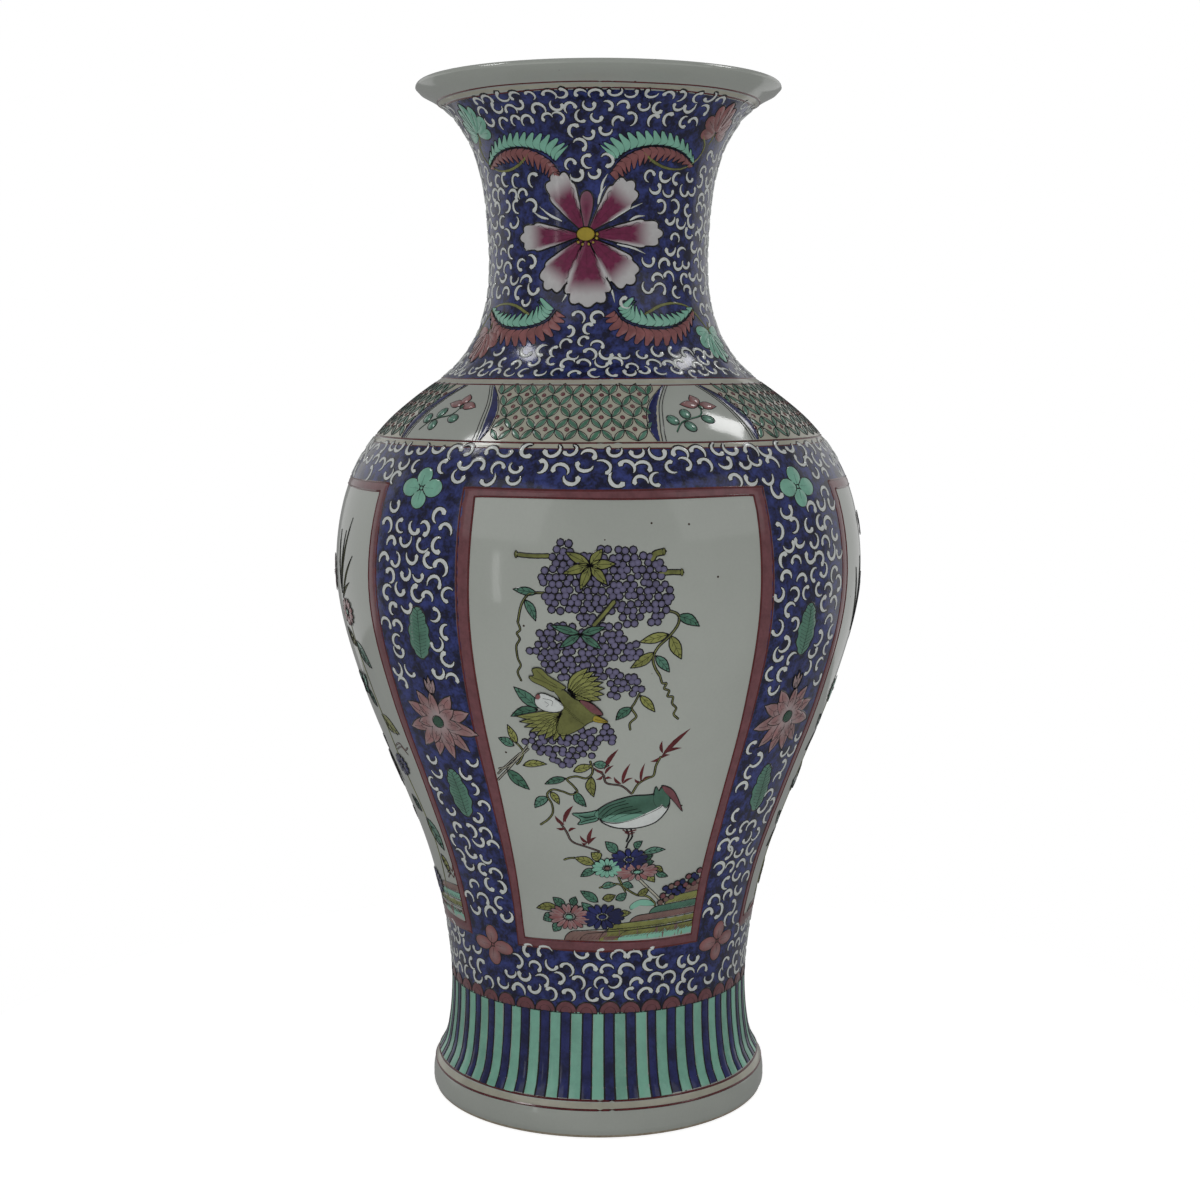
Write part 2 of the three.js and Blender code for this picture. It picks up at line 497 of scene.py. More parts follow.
def closed_curve(points, samples):
    """A smooth closed line through [turn, height] points."""
    points = np.asarray(points, dtype=float)
    count = len(points)
    at = np.linspace(0, count, samples, endpoint=False)
    i = at.astype(int)
    t = (at - i)[:, None]
    return blend(*(points[(i + k) % count] for k in (-1, 0, 1, 2)), t)


def placed(shape, turn, height, angle=0.0, size=1.0):
    """A flat shape in mm, turned and scaled, laid on the wall as [turn, height] rows."""
    shape = np.asarray(shape, dtype=float) * size
    c, s = ray(angle)
    x = shape[:, 0] * c - shape[:, 1] * s
    y = shape[:, 0] * s + shape[:, 1] * c
    level = height + y / math.hypot(1, slope_at(height))
    return paired(turn + np.degrees(x / radius_at(level)), level)


def paired(across, up):
    """[across, up] rows from two columns."""
    return np.stack([across, up], axis=-1)


def ray(angle):
    return math.cos(math.radians(angle)), math.sin(math.radians(angle))


def apart(turns, others):
    """Degrees between turns by the shorter way round, below 0 to the left."""
    return (turns - others + 180) % 360 - 180


def near_any(turn, centres, room):
    return any(abs(apart(turn, centre)) < room for centre in centres)


def flat(line):
    """[turn, height] rows unrolled into millimetres along and up the wall at their own middle."""
    middle = line[:, 1].mean()
    scale = math.radians(1) * radius_at(middle)
    lean = math.hypot(1, slope_at(middle))
    return line * (scale, lean), np.array([scale, lean])


def offset_line(line, distances, closed=False):
    """Both sides of a line, each moved out by the distances in mm, and its directions."""
    unrolled, scale = flat(line)
    if closed:
        along = np.roll(unrolled, -1, axis=0) - np.roll(unrolled, 1, axis=0)
    else:
        along = np.gradient(unrolled, axis=0)
    along /= np.maximum(np.linalg.norm(along, axis=1, keepdims=True), 1e-9)
    across = paired(-along[:, 1], along[:, 0]) * np.reshape(distances, (-1, 1))
    return (unrolled + across) / scale, (unrolled - across) / scale, along, scale


class Paint:
    """The shapes laid in one enamel, gathered into one piece of raised paint."""

    def __init__(self, base):
        self.base = base
        self.points = []
        self.washes = []
        self.polygons = []
        self.count = 0

    def add(self, places, lifts, polygons, wash=0.0):
        """Adds corners at [turn, height] places, and polygons of their numbers."""
        self.points.append(on_wall(places[:, 0], places[:, 1], self.base + lifts))
        self.washes.append(np.broadcast_to(wash, (len(places),)).astype(float))
        self.polygons.extend(tuple(i + self.count for i in polygon) for polygon in polygons)
        self.count += len(places)

    def band(self, one, other, thick, across=2, wash=0.0, closed=False, flat_ends=False):
        """A raised band between two edges of equal length, with a domed or a flat top."""
        one, other = np.asarray(one, dtype=float), np.asarray(other, dtype=float)
        tips = []
        if not closed and not flat_ends:
            if np.allclose(one[0], other[0], atol=1e-4):
                tips.append(("start", one[0]))
                one, other = one[1:], other[1:]
            if np.allclose(one[-1], other[-1], atol=1e-4):
                tips.append(("end", one[-1]))
                one, other = one[:-1], other[:-1]
        n = len(one)
        steps = np.linspace(0, 1, across + 1)
        top = one[None] * (1 - steps[:, None, None]) + other[None] * steps[:, None, None]
        rise = np.full(across + 1, thick)
        rise[[0, -1]] = -SINK
        lifts = np.repeat(rise, n)
        places = top.reshape(-1, 2)
        size = across + 1
        deep = across > 2
        if deep:
            places = np.vstack([places, top[1:-1].reshape(-1, 2)])
            lifts = np.concatenate([lifts, np.full((across - 1) * n, -SINK * 2)])
            under = [0] + [size + k - 1 for k in range(1, across)] + [across]
        else:
            under = [0, across]
        polygons = []
        last = n if closed else n - 1
        for i in range(last):
            j = (i + 1) % n
            for k in range(across):
                polygons.append((k * n + i, k * n + j, (k + 1) * n + j, (k + 1) * n + i))
            for a, b in zip(under, under[1:]):
                polygons.append((a * n + i, b * n + i, b * n + j, a * n + j))
        total = len(places)
        for side, tip in tips:
            i = 0 if side == "start" else n - 1
            places = np.vstack([places, tip])
            lifts = np.append(lifts, -SINK)
            for k in range(across):
                polygons.append((k * n + i, (k + 1) * n + i, total))
            for a, b in zip(under, under[1:]):
                polygons.append((b * n + i, a * n + i, total))
            total += 1
        if not closed:
            for side, i in (("start", 0), ("end", n - 1)):
                if side not in [t[0] for t in tips]:
                    ring = [k * n + i for k in range(size)]
                    if deep:
                        ring += [a * n + i for a in under[-2:0:-1]]
                    polygons.append(tuple(ring))
        if callable(wash):
            wash = wash(places)
        self.add(places, lifts, polygons, wash)

    def dome(self, centre, rim, thick, rings=2, wash=None):
        """A low dome over a rim that goes once round a centre. wash runs from the centre's to the rim's."""
        rim = np.asarray(rim, dtype=float)
        centre = np.asarray(centre, dtype=float)
        n = len(rim)
        fractions = [1.0, 0.86] + list(np.linspace(0.86, 0, rings)[1:-1]) if rings > 1 else [1.0]
        places = np.vstack([centre + (rim - centre) * f for f in fractions] + [centre[None]])
        lifts = np.concatenate([np.full(n, -SINK)] + [np.full(n,
                    thick * (1.15 - 0.3 * f)) for f in fractions[1:]] + [[thick * 1.15]])
        polygons = []
        for k in range(len(fractions) - 1):
            for i in range(n):
                j = (i + 1) % n
                polygons.append((k * n + i, k * n + j, (k + 1) * n + j, (k + 1) * n + i))
        hub = len(fractions) * n
        outer = (len(fractions) - 1) * n
        for i in range(n):
            polygons.append((outer + i, outer + (i + 1) % n, hub))
        if rings > 2:
            deep = hub + 1
            inner = places[n:]
            places = np.vstack([places, inner])
            lifts = np.concatenate([lifts, np.full(len(inner), -SINK * 2)])
            for i in range(n):
                j = (i + 1) % n
                polygons.append((j, i, deep + i, deep + j))
                for k in range(len(fractions) - 2):
                    a, b = deep + k * n, deep + (k + 1) * n
                    polygons.append((a + j, a + i, b + i, b + j))
                base = deep + (len(fractions) - 2) * n
                polygons.append((base + j, base + i, len(places) - 1))
        else:
            polygons.append(tuple(range(n - 1, -1, -1)))
        if callable(wash):
            values = wash(places)
        else:
            wash = wash or (0.0, 0.0)
            spread = np.concatenate([np.full(n, f) for f in fractions] + [[0.0]])
            if rings > 2:
                spread = np.concatenate([spread, spread[n:]])
            values = wash[0] * (1 - spread) + wash[1] * spread
        self.add(places, lifts, polygons, values)

    def stroke(self, line, widths, thick, closed=False, wash=0.0):
        """A brush line of some widths in mm along [turn, height] rows, with rounded or pointed ends."""
        line = np.asarray(line, dtype=float)
        half = np.broadcast_to(np.asarray(widths, dtype=float) / 2, (len(line),))
        left, right, along, scale = offset_line(line, half, closed)
        if closed:
            self.band(left, right, thick, wash=wash, closed=True)
            return
        first = line[0] - along[0] * half[0] * 0.9 / scale
        final = line[-1] + along[-1] * half[-1] * 0.9 / scale
        self.band(np.vstack([first, left, final]), np.vstack([first, right, final]), thick, wash=wash)

    def finish(self, name, enamel):
        """Makes the piece from what was laid."""
        piece = mesh_piece(name, np.concatenate(self.points), self.polygons)
        bpy.ops.mesh.normals_make_consistent(inside=False)
        bpy.ops.object.mode_set(mode="OBJECT")
        wash = piece.data.attributes.new("wash", "FLOAT", "POINT")
        wash.data.foreach_set("value", np.concatenate(self.washes))
        settle(piece, enamel, 50.0)


class Palette:
    """One Paint for each enamel that a painter uses in one part of the work."""

    def __init__(self, work, base):
        self.work = work
        self.base = base
        self.paints = {}

    def __getitem__(self, enamel):
        if enamel not in self.paints:
            self.paints[enamel] = Paint(self.base)
        return self.paints[enamel]

    def ink(self, line, widths, thick, closed=False):
        self["black_line"].stroke(line, widths, thick, closed)

    def finish(self):
        for enamel, paint in self.paints.items():
            paint.finish(f"{self.work}_{enamel}", enamel)


def painter(number):
    """A hand of its own for each operator, so that a change to one leaves the others as they are."""
    return random.Random(bpy.context.scene.vase_sizes.seed + number)


KEEP_CLEAR = []  # lines that the scattered scrolls keep off, as [turn, height] rows


def outlined(palette, enamel, centre, rim, thick=FILL_THICK, rings=2, line=0.55, wash=None, clear=False):
    """A domed fill with a dark line round it."""
    palette[enamel].dome(centre, rim, thick, rings, wash)
    palette.ink(rim, line, thick * 0.85, closed=True)
    if clear:
        KEEP_CLEAR.extend(np.asarray(centre) + (rim - centre) * share for share in (1.0, 0.6, 0.25))


def spot(palette, enamel, place, width, height, count, thick, rings=2, line=0.55, wash=None):
    """An outlined oval dot."""
    rim = placed(oval(width, height, count), *place)
    outlined(palette, enamel, place, rim, thick, rings, line, wash)


# ---------------------------------------------------------------- shapes, in millimetres

def round_turn(count):
    return np.linspace(0, math.tau, count, endpoint=False)


def oval(width, height, count=12):
    a = round_turn(count)
    return paired(np.cos(a) * width / 2, np.sin(a) * height / 2)


def leaf_edges(length, width, bend=0.0, samples=7):
    """The two edges and the midrib of a pointed leaf from its stalk along +x."""
    t = np.linspace(0, 1, samples)
    swell = width / 2 * np.sin(math.pi * t ** 0.85)
    spine = paired(t * length, bend * np.sin(math.pi * t))
    one, other = spine.copy(), spine.copy()
    one[:, 1] += swell
    other[:, 1] -= swell
    one[[0, -1]] = other[[0, -1]] = spine[[0, -1]]
    return one, other, spine


def painted_leaf(palette, enamel, turn, height, angle, length, width, bend=0.0, veins=3, line=0.45,
        wash=0.0):
    """A leaf with an outline, a midrib and short side veins."""
    one, other, spine = (placed(part, turn, height, angle) for part in leaf_edges(length, width, bend))
    palette[enamel].band(one, other, FILL_THICK * 0.8, wash=wash)
    palette.ink(one, line, FILL_THICK)
    palette.ink(other, line, FILL_THICK)
    palette.ink(spine[:-1], line * 0.8, FILL_THICK * 1.4)
    for k in range(veins):
        t = 0.25 + 0.5 * k / max(1, veins - 1)
        root = np.array([t * length, bend * math.sin(math.pi * t)])
        for side in (1, -1):
            tip = root + (length * 0.14, side * width * 0.3 * math.sin(math.pi * t ** 0.85))
            palette.ink(placed([root, tip], turn, height, angle), line * 0.6, FILL_THICK * 1.3)


# ---------------------------------------------------------------- settings

class VaseSizes(bpy.types.PropertyGroup):
    wall_steps: IntProperty(name="Wall Steps", description="Sides of each turned wall", default=224, min=48)
    frame_width: FloatProperty(
        name="Frame Width", description="Width of the band round each panel", default=0.0041, unit="LENGTH")
    scroll_spacing: FloatProperty(
        name="Scroll Spacing", description="Distance between white scrolls on the ground", default=0.0077,
        unit="LENGTH")
    berry_size: FloatProperty(
        name="Berry Size", description="Diameter of a painted berry", default=0.0035, unit="LENGTH")
    seed: IntProperty(name="Hand", description="Changes how the painter's hand wanders", default=7)


def colour_property(name, description, red, green, blue):
    return FloatVectorProperty(name=name, description=description, subtype="COLOR", size=3, min=0.0,
        max=1.0, default=linear(red, green, blue))


class VaseColours(bpy.types.PropertyGroup):
    glaze: colour_property("Glaze", "Clear glaze over the white body", 196, 201, 193)
    ground_thin: colour_property("Ground Thin", "Blue ground where the wash lies thin", 56, 68, 138)
    ground_thick: colour_property("Ground Thick", "Blue ground where the wash pools", 12, 14, 50)
    white_enamel: colour_property("White Enamel", "Thick white of the scrolls", 240, 245, 242)
    black_line: colour_property("Black Line", "Drawn outlines", 28, 26, 30)
    red_line: colour_property("Red Line", "Iron-red border lines", 108, 38, 42)
    cream: colour_property("Cream", "Warm white of the border strips", 200, 198, 180)
    rose_frame: colour_property("Rose Frame", "Frame round the panels", 136, 84, 90)
    rose: colour_property("Rose", "Rose of the small flowers", 166, 104, 104)
    turquoise: colour_property("Turquoise", "Turquoise stripes and leaves", 144, 206, 182)
    leaf_green: colour_property("Leaf Green", "Deeper green of the leaves", 84, 138, 112)
    yellow_green: colour_property("Yellow Green", "Olive green of stems and rocks", 148, 152, 84)
    magenta: colour_property("Magenta", "Deep pink of the great flower", 132, 42, 84)
    petal_tips: colour_property("Petal Tips", "Pale tips of the petals", 214, 212, 212)
    yellow: colour_property("Yellow", "Flower centres", 190, 168, 60)
    violet: colour_property("Violet", "Berries", 106, 102, 132)
    cobalt: colour_property("Cobalt", "Solid blue stripes and flowers", 44, 52, 118)
    rock_mauve: colour_property("Rock Mauve", "Mauve-brown of the rocks", 140, 112, 104)


# ---------------------------------------------------------------- operators

class TurnWalls(bpy.types.Operator):
    """Turn the vase's walls, joints, floor and foot"""

    bl_idname = "vase.turn_walls"
    bl_label = "Turn Walls"

    def execute(self, context):
        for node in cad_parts:
            if node not in ("foot_ring", "base_floor", "flared_foot", "mouth_rim"):
                wall_piece(node, f"{node}_wall", wall_loop(node))
        wall_piece("flared_foot", "flared_foot_wall", flared_foot_loop())
        wall_piece("mouth_rim", "mouth_rim_wall", mouth_rim_loop())
        ring = wall_piece("foot_ring", "standing_ring", foot_ring_loop())
        bare_standing_face(ring)
        wall_piece("base_floor", "floor_disc", floor_loop(), closed=False)
        return {"FINISHED"}


def wall_piece(node, name, loop, closed=True):
    """Turns a glazed piece that stands in for a CAD node."""
    piece = settle(turned(name, loop, closed), "white_glaze")
    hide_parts(node)
    return piece


def floor_loop():
    """Half the floor's section, from the middle of its underside to the middle of its top."""
    bottom, top = span_of("base_floor")
    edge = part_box("base_floor")[1][0] / MM
    under = [(0.0, bottom + 0.5), (20.0, bottom + 0.35), (45.0, bottom + 0.1), (edge - 0.6, bottom)]
    upper = [(edge, bottom + 0.6), (edge, top - 0.6), (edge - 0.6, top), (45.0, top - 0.2),
        (20.0, top - 0.6)]
    return under + upper + [(0.0, top - 0.7)]


def bare_standing_face(ring):
    """Gives the faces that the vase stands on the bare clay, where the glaze was wiped off."""
    ring.data.materials.append(make_bare_clay())
    for face in ring.data.polygons:
        radius = math.hypot(face.center.x, face.center.y)
        if face.center.z < 1.6 * MM and radius > 60.5 * MM or radius < 61 * MM:
            face.material_index = 1


class LayBlueGround(bpy.types.Operator):
    """Lay the blue ground round the panels and the neck"""

    bl_idname = "vase.lay_blue_ground"
    bl_label = "Lay Blue Ground"

    def execute(self, context):
        lay_ground("neck_ground", UPPER_STRIP[1], NECK_GROUND_TOP, windows=False)
        lay_ground("body_ground", GROUND_FOOT, BODY_GROUND_TOP, windows=True)
        return {"FINISHED"}


def lay_ground(name, low, high, windows):
    """A thin coat of enamel over a zone, left out of each panel's window."""
    turns = np.arange(0, 360, 1.25)
    heights = heights_between(low, high, 2.4)
    if windows:
        heights = np.unique(np.concatenate([heights, [PANEL_FOOT, PANEL_TOP]]))
        heights = heights[np.concatenate([[True], np.diff(heights) > 0.5])]
    count, levels = len(turns), len(heights)
    grid = np.stack(np.meshgrid(turns, heights), axis=-1).reshape(-1, 2)
    top = on_wall(grid[:, 0], grid[:, 1], np.full(len(grid), GROUND_LIFT))
    polygons = []
    for k in range(levels - 1):
        middle_height = (heights[k] + heights[k + 1]) / 2
        for i in range(count):
            if windows and in_window(turns[i] + 0.625, middle_height):
                continue
            j = (i + 1) % count
            polygons.append((k * count + i, k * count + j, (k + 1) * count + j, (k + 1) * count + i))
    piece = mesh_piece(name, top, polygons)
    bpy.ops.mesh.delete_loose(use_verts=True, use_edges=True, use_faces=False)
    bpy.ops.object.mode_set(mode="OBJECT")
    coat = piece.modifiers.new("coat", "SOLIDIFY")
    coat.thickness = 0.4 * MM
    coat.offset = -1.0
    bpy.ops.object.modifier_apply(modifier=coat.name)
    settle(piece, "blue_ground", 50.0)


def in_window(turn, height):
    if not PANEL_FOOT < height < PANEL_TOP:
        return False
    return near_any(turn, PANEL_CENTRES, PANEL_HALF - 0.5)


class DrawLines(bpy.types.Operator):
    """Draw the iron-red lines and the cream strips"""

    bl_idname = "vase.draw_lines"
    bl_label = "Draw Lines"

    def execute(self, context):
        palette = Palette("border", 0.0)
        hand = painter(0)
        for height in FOOT_LINES + LOWER_STRIP + UPPER_STRIP + MOUTH_LINES:
            palette["red_line"].stroke(hand_ring(hand, height, 0.16), 1.05, 0.3, closed=True)
        for low, high in (LOWER_STRIP, UPPER_STRIP, MOUTH_LINES, FOOT_LINES):
            palette["cream"].band(ring_line(low + 0.2), ring_line(high - 0.2), 0.08, closed=True)
        palette.finish()
        return {"FINISHED"}


def ring_line(height, count=180):
    turns = np.linspace(0, 360, count, endpoint=False)
    return paired(turns, np.full(count, float(height)))


def hand_ring(hand, height, wander):
    """A line drawn once round by hand, which rises and falls a little."""
    line = ring_line(height)
    for waves in (2, 3, 5, 9):
        phase = hand.uniform(0, math.tau)
        line[:, 1] += wander / waves ** 0.5 * np.sin(np.radians(line[:, 0]) * waves + phase)
    return line


class PaintFrames(bpy.types.Operator):
    """Paint the rose frame round each panel"""

    bl_idname = "vase.paint_frames"
    bl_label = "Paint Panel Frames"

    def execute(self, context):
        palette = Palette("panel_frame", GROUND_LIFT)
        hand = painter(1)
        for centre in PANEL_CENTRES:
            paint_frame(palette, hand, centre)
        palette.finish()
        return {"FINISHED"}


def paint_frame(palette, hand, centre):
    """Four mitred bands whose edges waver, each edge with a dark red line."""
    width = bpy.context.scene.vase_sizes.frame_width / MM

    def edge(corners, k):
        line = curve([corners[k], corners[(k + 1) % 4]], 34)
        wave = hand.uniform(0, math.tau)
        line[1:-1, 0] += 0.16 * np.sin(np.linspace(0, 9, 32) + wave)
        line[1:-1, 1] += 0.25 * np.sin(np.linspace(0, 7, 32) + wave)
        return line

    def corners(half, foot, crown):
        return [(centre - half, foot), (centre + half, foot), (centre + half, crown), (centre - half, crown)]

    window = PANEL_HALF - math.degrees(width / radius_at(180.0))
    outer_corners = corners(PANEL_HALF + 0.9, PANEL_FOOT - width, PANEL_TOP + 2.4)
    inner_corners = corners(window + 0.3, PANEL_FOOT, PANEL_TOP + 2.4 - width * 0.8)
    for k in range(4):
        outer = edge(outer_corners, k)
        inside = edge(inner_corners, k)
        palette["rose_frame"].band(outer, inside, 0.16, across=3, flat_ends=True)
        for line, thick in ((outer, 1.1), (inside, 0.9)):
            palette["red_line"].stroke(line, thick, 0.26)


class PaintFootStripes(bpy.types.Operator):
    """Paint the stripes of the foot and the scallops above them"""

    bl_idname = "vase.paint_foot_stripes"
    bl_label = "Paint Foot Stripes"

    def execute(self, context):
        palette = Palette("foot_stripes", 0.0)
        hand = painter(2)
        pitch = 360 / STRIPE_PAIRS
        for k in range(STRIPE_PAIRS):
            paint_stripe_pair(palette, hand, 0.4 + k * pitch, pitch)
        palette.finish()
        scallops = Palette("foot_scallops", GROUND_LIFT)
        for k in range(STRIPE_PAIRS):
            paint_scallop(scallops, hand, 0.4 + (k + hand.uniform(-0.04, 0.04)) * pitch, pitch)
        scallops.finish()
        return {"FINISHED"}


def leaning_line(turn, lean, low, high, bow):
    heights = np.linspace(low, high, 9)
    t = (heights - low) / (high - low)
    return paired(turn + lean * (t - 0.5) + bow * np.sin(math.pi * t), heights)


def paint_stripe_pair(palette, hand, turn, pitch):
    """A cobalt stripe and a turquoise one beside it, each between drawn lines."""
    lean, bow = hand.uniform(-0.35, 0.35), hand.uniform(-0.15, 0.15)
    low = STRIPE_FOOT + hand.uniform(-0.3, 0.2)
    blue_half = hand.uniform(1.45, 1.85)
    left = leaning_line(turn - blue_half, lean, low, STRIPE_TOP, bow)
    right = leaning_line(turn + blue_half, lean, low, STRIPE_TOP, bow)
    palette["cobalt"].band(left, right, 0.22, across=3, wash=hand.random())
    ink = palette["black_line"]
    for line in (left, right):
        ink.stroke(line, hand.uniform(0.75, 1.05), 0.26)
    start = turn + blue_half + hand.uniform(0.15, 0.3)
    stop = turn + pitch - 1.65 - hand.uniform(0.15, 0.3)
    top = STRIPE_TOP + hand.uniform(-0.3, 0.3)
    one = leaning_line(start, lean, low, top, bow)
    two = leaning_line(stop, lean, low, top, bow)
    palette["turquoise"].band(one, two, 0.22, across=3, wash=hand.random() * 0.5)
    ink.stroke(rows(one[-1] + (-0.2, 0.4), two[-1] + (0.2, 0.4)), 0.5, 0.2)


def paint_scallop(palette, hand, turn, pitch):
    """A filled rose arch over each cobalt stripe, with a smaller one drawn inside it."""
    a = np.linspace(0, math.pi, 11)
    rise = SCALLOP_TOP - STRIPE_TOP - 0.6 + hand.uniform(-0.3, 0.3)
    wide = pitch / 2 - 0.12
    arch = paired(np.cos(a) * wide, np.sin(a) ** 0.85 * rise)
    foot = (turn, STRIPE_TOP - 0.3)
    palette["rose_frame"].band(arch + foot, arch * (1, 0) + foot, 0.2, across=3, wash=hand.uniform(0.0, 0.3))
    palette.ink(arch + foot, 0.85, 0.28)
    palette.ink(arch * 0.55 + foot, 0.45, 0.27)
    palette.ink(arch[[0, -1]] * (1, 0) + foot, 0.8, 0.29)


# Half-widths of a reserve in the diaper band, as [height, degrees] rows from its foot to its crown
RESERVE_SHAPE = ((302.6, 12.8), (307, 12.7), (312, 12.0), (316, 11.2), (319, 10.0), (322, 8.4), (324.6, 6.2))


def reserve_half(height):
    shape = np.array(RESERVE_SHAPE)
    return np.interp(height, shape[:, 0], shape[:, 1])


def in_reserve(turn, height, margin=0.0):
    return near_any(turn, RESERVE_CENTRES, reserve_half(height) + margin)


class PaintDiaperBand(bpy.types.Operator):
    """Paint the coin lattice of the shoulder and its white reserves"""

    bl_idname = "vase.paint_diaper_band"
    bl_label = "Paint Diaper Band"

    def execute(self, context):
        hand = painter(3)
        lattice = Palette("diaper", 0.0)
        for centre in RESERVE_CENTRES:
            lay_lattice_ground(lattice, centre)
        paint_lattice(lattice, hand)
        lattice.finish()
        reserves = Palette("reserve", 0.02)
        for centre in RESERVE_CENTRES:
            paint_reserve(reserves, hand, centre)
        reserves.finish()
        return {"FINISHED"}


def lay_lattice_ground(palette, centre):
    """Pale ground between one reserve and the next."""
    heights = np.linspace(302.5, 324.9, 9)
    half = reserve_half(heights)
    left = paired(centre + half, heights)
    right = paired(centre + 72 - half, heights)
    palette["cream"].band(left, right, 0.05, across=24, flat_ends=True)


def paint_lattice(palette, hand):
    """Green lens petals that cross in a net, with a red seed in each mesh."""
    pitch, rise, low = 360 / 64, 4.55, 303.0
    for row in range(6):
        for k in range(64):
            node = np.array([(k + 0.5 * (row % 2)) * pitch, low + row * rise])
            node += (hand.uniform(-0.35, 0.35), hand.uniform(-0.25, 0.25))
            for side in (-0.5, 0.5):
                if row < 5:
                    tip = node + (side * pitch, rise)
                    paint_lens(palette, hand, node, tip)
            seed = node + (pitch / 2, 0)
            if 303.8 < seed[1] < 325 and not in_reserve(seed[0], seed[1], 2.4):
                rim = placed(oval(1.7, 2.2, 7), *seed, hand.uniform(-20, 20))
                palette["rose_frame"].dome(seed, rim, 0.2, rings=1)
                palette["red_line"].stroke(rim, 0.65, 0.24, closed=True)


def paint_lens(palette, hand, start, stop):
    middle = (start + stop) / 2
    if in_reserve(*middle, 2.2) or in_reserve(*start, 1.0) or in_reserve(*stop, 1.0):
        return
    line = curve([start + (stop - start) * 0.02, start + (stop - start) * 0.98], 6)
    swell = np.sin(np.linspace(0, math.pi, 6)) * hand.uniform(1.2, 1.55)
    one, other, _, _ = offset_line(line, swell)
    one[[0, -1]] = other[[0, -1]] = line[[0, -1]]
    palette["leaf_green"].band(one, other, 0.2, wash=hand.uniform(0.0, 0.6))
    palette.ink(one, 0.6, 0.24)
    palette.ink(other, 0.6, 0.24)


def paint_reserve(palette, hand, centre):
    """A white ogee with cobalt crescents at its sides and a spray of blossom inside."""
    heights = np.linspace(302.8, 324.8, 12)
    half = reserve_half(heights)
    for side in (-1, 1):
        rim = paired(centre + side * half, heights)
        swell = 3.3 * np.sin(math.pi * np.clip((heights - 301) / 25, 0, 1)) ** 0.8 + 0.2
        outer = rim + paired(side * swell, np.zeros(12))
        inner = rim + (side * 0.45, 0)
        palette["cobalt"].band(inner, outer, 0.24, across=2, flat_ends=True)
        palette.ink(rim, 0.5, 0.24)
        palette.ink(rim - (side * 0.9, 0), 0.5, 0.2)
        palette.ink(outer, 0.6, 0.28)
    for angle, length in ((176, 8.6), (-10, 8.6), (104, 6.4)):
        petal = placed(leaf_outline(length, 5.0), centre + 1.2, 317.0, angle + hand.uniform(-6, 6))
        outlined(palette, "rose", petal.mean(axis=0), petal, 0.24, rings=2, line=0.55, wash=(0.3, 0.0))
    spot(palette, "leaf_green", (centre + 1.6, 316.0), 2.4, 2.8, 8, 0.4, 1, 0.45)
    ink = palette["black_line"]
    stem = rows((1.5, 316.5), (0.2, 313), (-3.5, 311.6), (-6.5, 310), (-8.5, 306.5))
    palette["leaf_green"].stroke(curve(stem + (centre, 0), 12), 0.8, 0.2)
    ink.stroke(curve(stem + (centre, -0.35), 12), 0.3, 0.22)
    for x, z, angle in ((-4.4, 313.4, 80), (1.6, 311.2, -20), (-8.6, 311.0, 120), (-4.4, 308.4, -60)):
        rim = placed(oval(6.0, 4.8, 12), centre + x, z, angle)
        outlined(palette, "bird_green", (centre + x, z), rim, 0.24, rings=2, line=0.7, wash=(1.0, 0.2))
        ink.stroke(placed([(-2.4, 0), (2.0, 0)], centre + x, z, angle), 0.5, 0.36)


def leaf_outline(length, width):
    """A pointed leaf or petal along +x, as one closed line."""
    one, other, _ = leaf_edges(length, width)
    return np.vstack([one, other[-2:0:-1]])


# The great flower of the neck: each petal's angle, length and width in mm
GREAT_PETALS = (
    (88, 18, 6.5), (47, 30, 15), (119, 29, 15), (2, 34, 14), (181, 31, 14), (231, 28.5, 16),
    (316, 28.5, 17), (272, 30, 23),
)
# The white ticks between its petals: each one's angle, start and stop in mm
SEPALS = (
    (70, 19, 27), (104, 18, 26), (66, 14, 22), (111, 14, 24), (150, 12, 24), (29, 12, 28), (194, 14, 27),
    (344, 14, 27), (250, 22, 30), (293, 22, 31), (20, 20, 27), (158, 18, 26),
)
# The drawn fold of a petal, in shares of its length and width
PETAL_FOLD = ((0.25, 0.1), (0.36, 0.2), (0.42, 0.16), (0.5, 0.25), (0.56, 0.21), (0.64, 0.33), (0.7, 0.3))
NECK_FLOWER = (-9.8, 388.2)


class PaintNeckFlowers(bpy.types.Operator):
    """Paint the great flower on the front and the back of the neck"""

    bl_idname = "vase.paint_neck_flowers"
    bl_label = "Paint Neck Flowers"

    def execute(self, context):
        palette = Palette("neck_flower", GROUND_LIFT)
        hand = painter(4)
        for turn in (NECK_FLOWER[0], NECK_FLOWER[0] + 180):
            paint_great_flower(palette, hand, turn, NECK_FLOWER[1])
        palette.finish()
        return {"FINISHED"}


def petal_rim(length, width, lobes, count=64):
    """A petal along +x from its narrow claw, with a scalloped tip."""
    t = round_turn(count)
    x = length * (0.5 - 0.5 * np.cos(t))
    side = np.sin(t)
    body = width / 2 * side * (0.12 + 1.12 * np.clip(x / length, 0, 1) ** 1.05)
    near_tip = np.clip((x / length - 0.42) / 0.3, 0, 1)
    ripple = (np.abs(np.sin((t - math.pi) * lobes + math.pi / 2)) ** 0.8 - 0.6) * near_tip
    return paired(x * (1 + 0.07 * ripple), body * (1 + 0.2 * ripple))


